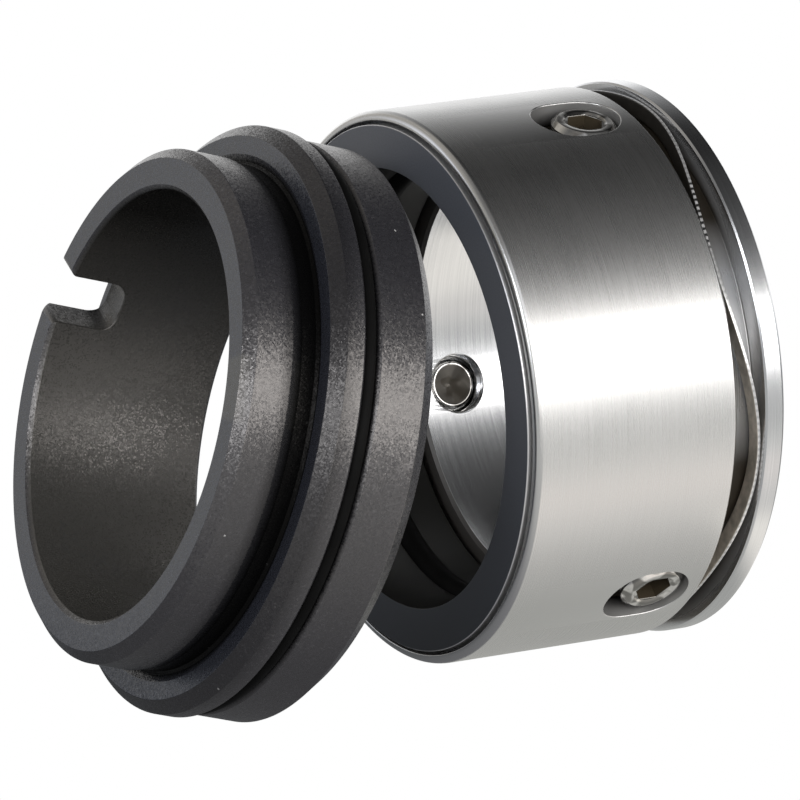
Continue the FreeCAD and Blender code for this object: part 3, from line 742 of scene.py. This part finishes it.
# %% Rubber
rubber, graph, shader = new_material("black_rubber")
place = object_place(graph)
skin = graph.add("ShaderNodeTexNoise", {"Vector": place, "Scale": 3000.0, "Detail": 3.0})
cloud = graph.add("ShaderNodeTexNoise", {"Vector": place, "Scale": 200.0, "Detail": 2.0})
wire(graph, shader,
     Base_Color=ramp(graph, cloud, (0.3, (0.003, 0.003, 0.003)), (0.7, (0.006, 0.006, 0.006))),
     Roughness=graph.math("MULTIPLY_ADD", skin, 0.2, 0.5), Specular_IOR_Level=0.08,
     Normal=graph.add("ShaderNodeBump", {"Strength": 0.2, "Distance": 0.00002,
                                         "Height": skin}))
print("made", rubber.name)

# %% [markdown]
# The drive collar is one turned piece: a thick tube that goes over the shaft, and a flange
# behind it that the spring pushes on. Its outline is turned like the other rings. The flange
# has a small bevel in front and a larger one behind.

# %% The drive collar
BORE = 25.03
TUBE = 30.13
RIM = 33.2
COLLAR_FRONT = FRONT + 15.7
FLANGE_FRONT = -2.65
BEVEL = 0.4
collar = turned_ring("collar_turned", [
    (COLLAR_FRONT, BORE + BEVEL, 0.1), (COLLAR_FRONT + BEVEL, BORE, 0.1),
    (-BEVEL, BORE, 0.1), (0, BORE + BEVEL, 0.1),
    (0, RIM - 0.45, 0.1), (-0.45, RIM, 0.1),
    (FLANGE_FRONT + 0.22, RIM, 0.06), (FLANGE_FRONT, RIM - 0.22, 0.06),
    (FLANGE_FRONT, TUBE, 0.15), (COLLAR_FRONT + BEVEL, TUBE, 0.1),
    (COLLAR_FRONT, TUBE - BEVEL, 0.1)])
print("collar turned:", len(collar.data.polygons), "faces")

# %% [markdown]
# Three tapped holes for the set screws go through the tube. One of them looks out of the bore
# in the photograph, so the threads are real: each ring of the cutting tool stands out by a
# triangular wave that moves on round the hole with its height, so the stack of rings makes a
# helix. The hole widens towards the bore, as a countersink leaves it.

# %% The tapped holes
SCREW_X = FRONT + 21.1
PITCH = 1.25
HOLE_RADIUS = 3.38
HOLE_POINTS = 96
HOLE_STEP = 0.13
FLANK = 0.6


def circle(x, radius, count):
    """A round outline with its outward directions."""
    spokes = [(math.cos(math.tau * k / count), math.sin(math.tau * k / count))
              for k in range(count)]
    return [(x + radius * c, radius * s, c, s) for c, s in spokes]


def thread(height, depth, count):
    """How far the thread's flank stands out at each point of a ring at this height."""
    def push(number):
        turn = (height / PITCH - number / count) % 1
        return depth * (1 - abs(2 * turn - 1))
    return push


hole_rings = [(1.6, 23.6), (0.62, 24.72), (0.1, 25.3)]
hole_rings += [(thread(h * HOLE_STEP, FLANK, HOLE_POINTS), 25.4 + h * HOLE_STEP)
               for h in range(38)]
hole_rings += [(0.5, 30.6), (0.5, 32)]
hole_tool = cutting_tool("hole_tool", circle(SCREW_X, HOLE_RADIUS, HOLE_POINTS), hole_rings)
run_nodes(hole_tool, turn_copies, count=3, first_angle=SCREW_ANGLE)
cut_with(collar, hole_tool)
print("tapped collar:", len(collar.data.polygons), "faces")

# %% [markdown]
# Two places on the collar are darkened with painted shade: the tube behind the spring, least
# on the camera's side where the softbox still reaches into the gap, and the bevel at the
# bore's front, which lies close behind the face ring.

# %% The collar's painted shade
LIT_ANGLE = -73


def collar_painted_shade(x, r, angle):
    """How much painted shade the collar gets: behind the spring, and at the mouth of its bore."""
    # Painted shade behind the spring, lightest where the softbox reaches into the gap.
    if TUBE - 0.53 < r < TUBE + 0.37:
        return min(max(abs(angle - LIT_ANGLE) / 22 - 0.3, 0.35), 1.0)
    return 0.9 if x < COLLAR_FRONT + 0.45 and BORE + 0.01 < r < 28 else 0.0


mark(collar, "deep", collar_painted_shade)
dress(finished(collar), "drive_collar", turned_steel)

# %% [markdown]
# The face carrier is a thin shell that slides on the collar. Its front skirt holds the face
# ring, and behind an inner web its thicker rear has three slots, through which the set
# screws are reached. Each slot is cut with a tool rounded at both lips.

# %% The face carrier
CARRIER = 33.0
REAR = -6.4
SKIRT_BORE = 31.87
WEB_BORE = 28.12
REAR_BORE = 30.21
WEB = FRONT + 13.3
WEB_BACK = FRONT + 13.9
carrier = turned_ring("carrier_shell", [
    (FRONT, CARRIER, 1.05), (FRONT, SKIRT_BORE, 0.12), (WEB, SKIRT_BORE, 0),
    (WEB, WEB_BORE, 0.08), (WEB_BACK, WEB_BORE, 0.08), (WEB_BACK, REAR_BORE, 0.1),
    (REAR, REAR_BORE, 0.1), (REAR, CARRIER - 0.3, 0.1), (REAR - 0.3, CARRIER, 0.1)])


def slot_outline(first, last, half, count=24):
    """A slot with round ends along X."""
    outline = []
    for centre, start in ((last, -90), (first, 90)):
        for k in range(count + 1):
            turn = math.radians(start + 180 * k / count)
            c, s = math.cos(turn), math.sin(turn)
            outline.append((centre + half * c, half * s, c, s))
    return outline


SLOT_HALF = 4.5
slot_tool = cutting_tool(
    "slot_tool", slot_outline(FRONT + 14.3 + SLOT_HALF, FRONT + 25.2 - SLOT_HALF, SLOT_HALF),
    list(reversed(lip(REAR_BORE, 0.12, -1))) + lip(CARRIER, 0.16))
run_nodes(slot_tool, turn_copies, count=3, first_angle=SCREW_ANGLE)
cut_with(carrier, slot_tool)


def carrier_painted_shade(x, r, angle):
    """How much painted shade the carrier gets: all of its rear bore, and half on the slots'
    walls.
    """
    if REAR_BORE - 0.21 < r < REAR_BORE + 0.99:
        return 1.0
    return 0.5 if r < CARRIER - 0.13 and WEB - 0.05 < x < REAR - 0.5 else 0.0


# Painted shade in the rear bore and on the slots' walls.
mark(carrier, "deep", carrier_painted_shade)
dress(finished(carrier), "face_carrier", shell_steel)

# %% [markdown]
# The face ring is pressed into the skirt and stands a little out of it. Its nose is smaller
# than the skirt's bore, which leaves the thin black line that the photograph shows round the
# sealing face, and the nose's own bright edge inside that line.

# %% The face ring and its O-ring
FACE = FRONT - 0.4
NOSE = 31.4
NOSE_BACK = FRONT + 2.5
FACE_BORE = 26.27
GROOVE = 28.09
GROOVE_FRONT = FRONT + 7.0
GROOVE_BACK = FRONT + 10.2
NECK = 28.07
NECK_BACK = FRONT + 14.7
face_ring = turned_ring("face_ring_lapped", [
    (FACE, FACE_BORE, 0.08), (GROOVE_FRONT, FACE_BORE, 0.05), (GROOVE_FRONT, GROOVE, 0.05),
    (GROOVE_BACK, GROOVE, 0.05), (GROOVE_BACK, FACE_BORE, 0.05), (NECK_BACK, FACE_BORE, 0.1),
    (NECK_BACK, NECK, 0.05), (WEB, NECK, 0), (WEB, SKIRT_BORE, 0),
    (NOSE_BACK, SKIRT_BORE, 0.1), (NOSE_BACK, NOSE, 0.05), (FACE, NOSE, 0.2)])
dress(finished(face_ring), "face_ring", lapped)


def rubber_ring(name, along, centre_radius, section, corners=40):
    """A round-section ring about X."""
    half = section / 2
    turns = [math.tau * k / corners for k in range(corners)]
    return turned_ring(name, [(along + half * math.cos(turn),
                               centre_radius + half * math.sin(turn), 0) for turn in turns])


shaft_ring = rubber_ring("shaft_ring_rubber", along=FRONT + 8.6, centre_radius=26.55,
                         section=3.0)
dress(finished(shaft_ring), "shaft_o_ring", rubber)

# %% [markdown]
# A set screw is a threaded rod with a chamfered top, a hexagon socket and a cup point. It is
# made upright, from rings that go from the hollow of the cup to the bevelled mouth of the
# socket, and the same thread rule as in the tapped holes makes a helix of the rings between.

# %% A screw's threaded body
SCREW_LOW = 26.3
SCREW_POINTS = 96
THREAD_FROM = 0.72
THREAD_TO = 5.3
THREAD_RINGS = 42
ROOT = 3.4
RUN_OUT = 0.55
SCREW_FLANK = 0.57


def screw_mesh():
    """One upright screw on the line x = SCREW_X, from (radius, height, flank) rings."""
    profile = [(0.3, 1.15, 0), (1.2, 0.68, 0), (2.36, 0.08, 0), (2.46, 0.01, 0),
               (2.6, 0.0, 0), (2.72, 0.05, 0), (3.35, 0.66, 0)]
    for k in range(THREAD_RINGS + 1):
        height = THREAD_FROM + (THREAD_TO - THREAD_FROM) * k / THREAD_RINGS
        left = THREAD_RINGS - k
        fade = min(1, k / 5, left / 3)
        profile.append((ROOT + RUN_OUT * max(0, 1 - left / 3), height, SCREW_FLANK * fade))
    profile += [(3.97, 5.34, 0), (3.94, 5.38, 0), (3.4, 5.92, 0), (3.33, 5.97, 0),
                (3.24, 6.0, 0), (2.66, 6.0, 0), (2.6, 5.97, 0), (2.36, 5.76, 0)]
    points, faces = [], []
    for radius, height, flank in profile:
        push = thread(height, flank, SCREW_POINTS)
        for k in range(SCREW_POINTS):
            out = radius + push(k)
            turn = math.tau * k / SCREW_POINTS
            points.append((SCREW_X + out * math.cos(turn), out * math.sin(turn),
                           SCREW_LOW + height))
    for ring in range(len(profile) - 1):
        for k in range(SCREW_POINTS):
            k2 = (k + 1) % SCREW_POINTS
            a, b = ring * SCREW_POINTS, (ring + 1) * SCREW_POINTS
            faces.append((a + k, a + k2, b + k2, b + k))
    faces.append(tuple(range(SCREW_POINTS - 1, -1, -1)))
    faces.append(tuple(len(points) - SCREW_POINTS + k for k in range(SCREW_POINTS)))
    return points, faces


print("a screw's body has", len(screw_mesh()[1]), "faces before its socket is cut")

# %% [markdown]
# The hexagon is cut out of the body, with a drilled cone at its bottom. The socket and the cup
# are then marked deep: oil gathers in them, and they are darkened with painted shade.


# %% The socket and the marks
def hexagon_tool():
    """A hexagonal prism with a drilled cone at the bottom and a wider mouth."""
    points, faces = [], []
    for radius, height in ((0.05, 2.5), (2.31, 3.0), (2.31, 5.7), (2.5, 5.95)):
        for k in range(6):
            turn = math.tau * k / 6
            points.append((SCREW_X + radius * math.cos(turn), radius * math.sin(turn),
                           SCREW_LOW + height))
    for ring in range(3):
        for k in range(6):
            k2 = (k + 1) % 6
            a, b = ring * 6, ring * 6 + 6
            faces.append((a + k, a + k2, b + k2, b + k))
    faces += [(5, 4, 3, 2, 1, 0), (18, 19, 20, 21, 22, 23)]
    return mesh_object("hexagon_tool", points, faces)


def oil_and_shade_marks(screw):
    """Oil and painted shade for each vertex of an upright screw: 0.85 in the cup and 1 in the
    socket.
    """
    marks = []
    for vertex in screw.data.vertices:
        x, y, z = vertex.co / MM
        out = math.hypot(x - SCREW_X, y)
        height = z - SCREW_LOW
        cup = height < 1.3 and out < 2.42
        marks.append(0.85 if cup else float(out < 2.4 and height < 5.7))
    return marks


print("socket helpers ready:", [f.__name__ for f in (hexagon_tool, oil_and_shade_marks)])

# %% [markdown]
# Three screws stand in the three tapped holes. They are separate pieces, as on the real
# collar, so a loop makes each one upright, cuts its socket and turns it to its place.

# %% The three screws
for number in range(3):
    screw = mesh_object("screw_%d" % (number + 1), *screw_mesh())
    cut_with(screw, hexagon_tool())
    deep = oil_and_shade_marks(screw)
    screw.data.transform(Matrix.Rotation(-SCREW_ANGLE - math.tau * number / 3, 4, "X"))
    screw.data.polygons.foreach_set("use_smooth", [True] * len(screw.data.polygons))
    screw.data.set_sharp_from_angle(angle=math.radians(32))
    screw.data.attributes.new("rim", "FLOAT", "POINT")
    # Oil and painted shade in the socket and the cup.
    screw.data.attributes.new("deep", "FLOAT", "POINT").data.foreach_set("value", deep)
    dress(screw, "set_screw_%d" % (number + 1), screw_steel)

# %% [markdown]
# The wave spring is one turn of flat strip whose height above the carrier follows a cosine,
# four waves to the turn. It follows a rule, so Geometry Nodes makes it: a grid's one
# direction runs round the turn, and the other runs round the strip's own section. The
# section comes first. It is a squared-off ellipse, and closes to a point at both ends of the
# strip. The split between the ends is on the far side.

# %% The spring's section
STRIP_CORNERS = (0.22, 0.4)
graph, given, result = new_group("wave_strip", "GeometryNodeTree", [
    ("Geometry", "Geometry", None), ("Inner Radius", "Float", 30.38), ("Width", "Float", 2.0),
    ("Thickness", "Float", 0.5), ("Waves", "Float", 4.0), ("Swing", "Float", 1.595),
    ("Middle", "Float", 0.0), ("Phase", "Float", 0.0), ("Split", "Float", 0.06),
    ("Material", "Material", None), (">Geometry", "Geometry", None)])
sheet = graph.add("GeometryNodeMeshGrid", {
    "Size X": 1.0, "Size Y": 1.0, "Vertices X": 721, "Vertices Y": 33})
spot = graph.add("ShaderNodeSeparateXYZ", [graph.add("GeometryNodeInputPosition")]).node
along_turn = graph.math("ADD", spot.outputs[0], 0.5)
around_strip = graph.math("MULTIPLY", spot.outputs[1], math.tau)
span = graph.math("SUBTRACT", math.tau, given["Split"])
start = graph.math("ADD", given["Phase"], graph.math(
    "MULTIPLY_ADD", given["Split"], 0.5, math.pi))
bearing = graph.math("MULTIPLY_ADD", along_turn, span, start)


def squared(value, power, width):
    """A squared-off sine or cosine: sign(v) * |v| ** power, times half the width."""
    size = graph.math("POWER", graph.math("ABSOLUTE", value), power)
    return graph.math("MULTIPLY", graph.math("MULTIPLY", graph.math("SIGN", value), size),
                      graph.math("MULTIPLY", width, 0.5))


end = graph.math("COMPARE", graph.math("ABSOLUTE", spot.outputs[0]), 0.5, 0.0001)
open_strip = graph.math("SUBTRACT", 1.0, end)
across = graph.math("MULTIPLY", open_strip, squared(
    graph.math("COSINE", around_strip), STRIP_CORNERS[0], given["Width"]))
through = graph.math("MULTIPLY", open_strip, squared(
    graph.math("SINE", around_strip), STRIP_CORNERS[1], given["Thickness"]))
print("the section's powers are", *STRIP_CORNERS)

# %% [markdown]
# Now the wave. A point's place along the shaft follows the cosine of its bearing, and its
# distance from the shaft comes from the section. The grid's long edges meet all round the
# strip, so they are merged. The tree ends as one for a visible piece should, in Realize
# Instances, which finds none here, and in Set Material.

# %% The spring's wave
wave = graph.math("COSINE", graph.math("MULTIPLY", given["Waves"], graph.math(
    "SUBTRACT", bearing, given["Phase"])))
level = graph.math("SUBTRACT", given["Middle"], graph.math("MULTIPLY", wave, given["Swing"]))
radius = graph.math("ADD", graph.math("MULTIPLY_ADD", given["Width"], 0.5,
                                      given["Inner Radius"]), across)
point = graph.add("ShaderNodeCombineXYZ", {
    "X": graph.math("ADD", level, through),
    "Y": graph.math("MULTIPLY", radius, graph.math("SINE", bearing)),
    "Z": graph.math("MULTIPLY", radius, graph.math("COSINE", bearing))})
metres = graph.add("ShaderNodeVectorMath", [point], operation="SCALE")
metres.node.inputs["Scale"].default_value = MM
bent = graph.add("GeometryNodeSetPosition", {"Geometry": sheet, "Position": metres})
joined = graph.add("GeometryNodeMergeByDistance", {"Geometry": bent, "Distance": 1e-7})
real = graph.add("GeometryNodeRealizeInstances", [joined])
steel_strip = graph.add("GeometryNodeSetMaterial", {
    "Geometry": real, "Material": given["Material"]})
graph.tree.links.new(steel_strip, result[0])
wave_strip = graph.tree
print("wave group:", wave_strip.name, "with", len(wave_strip.nodes), "nodes")

# %% [markdown]
# The group needs no geometry of its own to start from, so it runs on an empty piece. The
# middle of the waves lies half-way between the carrier's rear and the flange, and the phase
# turns the waves until the strip crosses the gap where the photograph shows it.

# %% The strip in its place
SPRING_PHASE = math.radians(-54.5)
SPLIT_WIDTH = 2.0
SPRING_RIM = 32.4
spring = mesh_object("wave_spring_strip", [], [])
run_nodes(spring, wave_strip, middle=(REAR + FLANGE_FRONT) / 2, phase=SPRING_PHASE,
          split=SPLIT_WIDTH / SPRING_RIM, material=spring_steel)
dress(finished(face_out(spring)), "wave_spring", spring_steel)

# %% [markdown]
# The stationary seat is the loose dark ring in front. It is turned in its own frame, with X
# from its tail to its lapped nose. The long row of corners is the real outline: the tail and
# its bevels, a neck that falls away before the flange, the flange with its sloped front edge,
# the O-ring's groove, and the nose. Then the notch for the housing's pin is cut into the tail
# with the same kind of tool as the slots.

# %% The seat
TAIL = 30.45
SEAT_BORE = 25.5
seat = turned_ring("seat_turned", [
    (0, SEAT_BORE + 0.5, 0.1), (0.5, SEAT_BORE, 0.15),
    (22.55, SEAT_BORE, 0.15), (23.05, SEAT_BORE + 0.5, 0.1),
    (23.05, 32.25, 0.12), (21.05, 34.25, 0.2), (15.38, 34.25, 0.12), (14.88, 33.75, 0.08),
    (14.88, 32.68, 0.15), (13.0, 32.68, 0.15), (13.0, 34.65, 0.08), (12.7, 34.95, 0.1),
    (10.57, 34.95, 0.2), (9.07, 33.45, 0.15), (9.07, 31.3, 0.14), (9.42, 30.4, 0.08),
    (9.07, 30.05, 0.15), (7.27, 30.05, 0.6), (5.87, TAIL, 0.6), (4.4, TAIL, 0),
    (1.3, TAIL, 0.2), (0, TAIL - 1.3, 0.12)])

NOTCH_ANGLE = -73


def notch_outline():
    """The notch: open at the tail, with rounded mouth corners and a rounded bottom."""
    half, deep, corner, flare, before_tail = 3.1, 7.9, 2.0, 0.9, -3.0
    side = []
    for k in range(9):
        turn = math.radians(90 * k / 8)
        x = flare - flare * math.cos(turn)
        side.append((x, half + flare - flare * math.sin(turn), 0.0 if x > 0.85 else -0.3, 1.0))
    for k in range(13):
        turn = math.radians(90 * k / 12)
        side.append((deep - corner + corner * math.sin(turn),
                     half - corner + corner * math.cos(turn),
                     math.sin(turn), math.cos(turn)))
    mirror = [(x, -y, nx, -ny) for x, y, nx, ny in reversed(side)]
    start = [(before_tail, half + flare, 0, 1)]
    end = [(before_tail, -half - flare, 0, -1)]
    return start + side + mirror + end


notch_tool = cutting_tool(
    "notch_tool", notch_outline(),
    list(reversed(lip(SEAT_BORE, 0.2, -1))) + lip(TAIL, 0.2, leave=0.9))
notch_tool.data.transform(Matrix.Rotation(math.radians(NOTCH_ANGLE), 4, "X"))
cut_with(seat, notch_tool)
finished(seat)
print("seat turned and notched:", len(seat.data.polygons), "faces")

# %% [markdown]
# Sintered carbide is so dark that its deep places look black in their shade. Two marks paint
# that over the seat: one darkens the top of the bore, the neck behind the tail, the groove
# and, a little, the flange's sloped edge with painted shade; the other makes the bore and the
# notch's walls paler and warmer with painted light.
# Both are values on vertices, worked out from where a vertex lies.

# %% The seat's painted shade and painted light
BORE_EDGE = SEAT_BORE + 0.3
BORE_TOP = 20


def painted_shade_places(x, r, angle):
    """How much painted shade the seat gets: bore's top, neck behind the tail, groove, flange's
    edge.
    """
    if r < BORE_EDGE:
        return min(max(1.15 - abs(angle - BORE_TOP) / 62, 0.0), 0.9)
    if r < 31.25 and 4.3 < x < 9.5:
        return min((x - 4.3) / 2.6, 0.97)
    if 12.9 < x < 15 and r < 34:
        return 0.97
    return 0.4 if 9.08 < x < 10.7 and r > 33.35 else 0.0


def painted_light_places(x, r, angle):
    """Painted light: one on the bore and on the notch's walls, else zero."""
    in_notch = x < 8.2 and r < TAIL - 0.15 and abs(angle - NOTCH_ANGLE) < 7.8
    return float(r < BORE_EDGE or in_notch)


mark(seat, "dark", painted_shade_places)
mark(seat, "bore", painted_light_places)
for label in ("dark", "bore"):
    values = [spot.value for spot in seat.data.attributes[label].data]
    print("vertices marked %-4s %6d of %d" % (label, sum(v > 0 for v in values), len(values)))

# %% [markdown]
# The seat's O-ring lies in the groove behind the flange. Ring and seat are leaned over
# together about the middle of the flange's face, and stood in front of the rotary unit, as
# the photograph shows them. The move goes into the meshes, so both objects stay unturned.

# %% The seat's O-ring, and both leaned over
SEAT_PLACE = -60.65
FLANGE_FACE = 9.07
seat_ring = finished(rubber_ring("seat_ring_rubber", along=13.94, centre_radius=33.59,
                                 section=1.78))
stand = Matrix.Translation(Vector((SEAT_PLACE, 0, 0)) * MM) @ over @ Matrix.Translation(
    Vector((-FLANGE_FACE, 0, 0)) * MM)
for piece, node, material in ((seat, "seat_ring", carbide), (seat_ring, "seat_o_ring", rubber)):
    piece.data.transform(stand)
    dress(piece, node, material)

# %% [markdown]
# The photograph is lit like a product shot on a white table: one long softbox in front and a
# little above the horizon, a dark room overhead, and a pale table that throws light up from
# below. Polished metal is mostly a picture of its surroundings, so the surroundings are what
# is built: first the table. The camera sees it white, and reflections see tones that glow on
# it as painted light and shadow: bands that run parallel to the shaft, with a painted shadow
# in them, another row of darker bands under the loose seat, a painted shadow, and a bright
# painted patch of light to the right, for the inside of the bore. For all other light it is
# plain grey. From here on, places and sizes are in metres.

# %% The table
WHITE = (1, 1, 1, 1)
# Painted light and shadow seen in reflections; the dark band near 0.6 is a painted shadow.
TABLE_TONES = (
    (0.0, (0.55, 0.55, 0.54)), (0.18, (0.6, 0.6, 0.58)), (0.27, (0.8, 0.79, 0.76)),
    (0.32, (1.0, 0.93, 0.88)), (0.37, (0.8, 0.78, 0.75)), (0.405, (0.57, 0.56, 0.54)),
    (0.44, (0.45, 0.45, 0.43)), (0.51, (0.47, 0.47, 0.45)), (0.6, (0.2, 0.2, 0.2)),
    (0.85, (0.6, 0.62, 0.66)), (1.0, (1.25, 1.25, 1.25)))
# Painted shadow under the loose seat, seen in reflections.
SHADOW_TONES_UNDER_SEAT = (
    (0.35, (0.5, 0.5, 0.49)), (0.43, (0.22, 0.22, 0.23)), (0.53, (0.1, 0.105, 0.11)),
    (0.7, (0.2, 0.21, 0.23)), (0.85, (0.42, 0.42, 0.42)), (1.0, (0.45, 0.44, 0.42)))
UNDER_SEAT = -0.03
PATCH_CENTRE = (0.021, -0.017)
PATCH_HALF = (0.014, 0.032)
PAINTED_GLOW_TONE = (1.15, 1.1, 1.02, 1)


def emptied(tree):
    """A graph on a tree from which the nodes that come with it are removed."""
    tree.nodes.clear()
    return Graph(tree)


lowest = min(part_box(n)[0][2] for n in frame["nodes"])
bpy.ops.mesh.primitive_plane_add(size=6, location=(0, 0, lowest))
floor = bpy.context.object
floor.name = "floor"
pale = bpy.data.materials.new("pale_floor")
pale.use_nodes = True
graph = emptied(pale.node_tree)
rays = graph.add("ShaderNodeLightPath").node.outputs
seen = graph.math("MAXIMUM", rays["Is Camera Ray"], rays["Is Glossy Ray"])
spot = parts_of(graph, graph.add("ShaderNodeNewGeometry"))
depth = graph.math("MULTIPLY_ADD", spot[1], 2.5, 0.5, clamp=True)
under_seat = graph.math("LESS_THAN", spot[0], UNDER_SEAT)
table = blend(graph, under_seat, ramp(graph, depth, *TABLE_TONES),
              ramp(graph, depth, *SHADOW_TONES_UNDER_SEAT))
away = [graph.math("ABSOLUTE", graph.math("DIVIDE", graph.math("SUBTRACT", part, middle), half))
        for part, middle, half in zip(spot, PATCH_CENTRE, PATCH_HALF)]
# Painted light: a glowing patch for the inside of the bore.
patch = ramp(graph, graph.math("MAXIMUM", *away), (0.75, 1.0), (1.0, 0.0))
table = blend(graph, patch, table, PAINTED_GLOW_TONE)
glow = graph.add("ShaderNodeEmission", [blend(graph, rays["Is Camera Ray"], table, WHITE)])
matt = graph.add("ShaderNodeBsdfDiffuse", [(0.4, 0.4, 0.4, 1)])
graph.add("ShaderNodeOutputMaterial", [graph.add("ShaderNodeMixShader", [seen, matt, glow])])
floor.data.materials.append(pale)
print("table at z = %.4f m" % lowest)

# %% [markdown]
# The room is a background whose tone depends on the angle round X, since that is the only
# thing a turned surface tells apart. To the right it is dark overhead and bright near the
# horizon, which draws the carrier's dark top and its light edge. To the left, in front of the
# rings' faces, it is another row of tones, with a light band that the seat and the flange's
# bevel pick up, and the far left horizon is bright for the lapped face.

# %% The room
RIGHT_TONES = (
    (-100, 0.70), (-88, 0.72), (-60, 0.66), (-46, 0.27), (-33, 0.1), (-15, 0.055),
    (15, 0.018), (36, 0.03), (50, 0.17), (58, 0.32), (65, 0.42), (72, 0.72), (77, 1.2),
    (84, 1.35))
LEFT_TONES = (
    (-90, (0.4, 0.4, 0.4)), (-60, (0.5, 0.51, 0.53)), (-40, (0.95, 0.97, 1.0)),
    (-31, (0.5, 0.51, 0.53)), (-24, (0.16, 0.15, 0.14)), (5, 0.12),
    (32, (0.38, 0.36, 0.33)), (80, (0.42, 0.4, 0.37)))
FAR_TONE = (1.0, 1.03, 1.12, 1)


def round_x(*stops):
    """Stops given in degrees round X, from straight up towards +Y, as places on a ramp."""
    return [(degrees / 360 + 0.5, shade) for degrees, shade in stops]


world = bpy.data.worlds.new("room")
bpy.context.scene.world = world
world.use_nodes = True
graph = emptied(world.node_tree)
way = parts_of(graph, graph.add("ShaderNodeTexCoord"))
bearing = graph.math("ARCTAN2", way[1], way[2])
place = graph.math("MULTIPLY_ADD", bearing, 1 / math.tau, 0.5, clamp=True)
leftward = graph.math("MULTIPLY", way[0], -1.0)
on_left = ramp(graph, leftward, (0.0, 0.0), (0.15, 1.0))
room = blend(graph, on_left, ramp(graph, place, *round_x(*RIGHT_TONES)),
             ramp(graph, place, *round_x(*LEFT_TONES)))
far = graph.math("MULTIPLY", ramp(graph, place, *round_x((50, 0.0), (70, 1.0))),
                 ramp(graph, leftward, (0.45, 0.0), (0.6, 1.0)))
room = blend(graph, far, room, FAR_TONE)
rays = graph.add("ShaderNodeLightPath").node.outputs
sky = graph.add("ShaderNodeBackground", [blend(graph, rays["Is Camera Ray"], room, WHITE)])
graph.add("ShaderNodeOutputWorld", [sky])
print("room:", len(RIGHT_TONES), "tones on the right,", len(LEFT_TONES), "on the left")

# %% [markdown]
# Two lamps add what a background can't: light with a clear edge. The softbox is a long strip
# in front of the shaft and parallel to it, so its reflection is a long band on every round
# piece. A small card stands far to the left, and brightens the faces that look that way.


# %% The softbox and the card
def area_light(name, place, along, size, energy, colour):
    """A rectangular lamp at a place, which shines along a direction."""
    data = bpy.data.lights.new(name, "AREA")
    data.shape = "RECTANGLE"
    data.size, data.size_y = size
    data.energy = energy
    data.color = colour
    lamp = bpy.data.objects.new(name, data)
    bpy.context.collection.objects.link(lamp)
    lamp.location = Vector(place)
    lamp.rotation_euler = Vector(along).to_track_quat("-Z", "Y").to_euler()
    print("%-10s %.1f W, %.2f m from the middle" % (name, energy, lamp.location.length))


area_light("softbox", (0.45, -0.95, 0.33), (0, 0.95, -0.33), (2.4, 0.45), 9.5,
           (1.0, 0.97, 0.94))
area_light("front_card", (-1.5, -0.6, 0.77), (1.5, 0.6, -0.77), (0.5, 0.5), 4.5,
           (0.96, 0.97, 1.0))
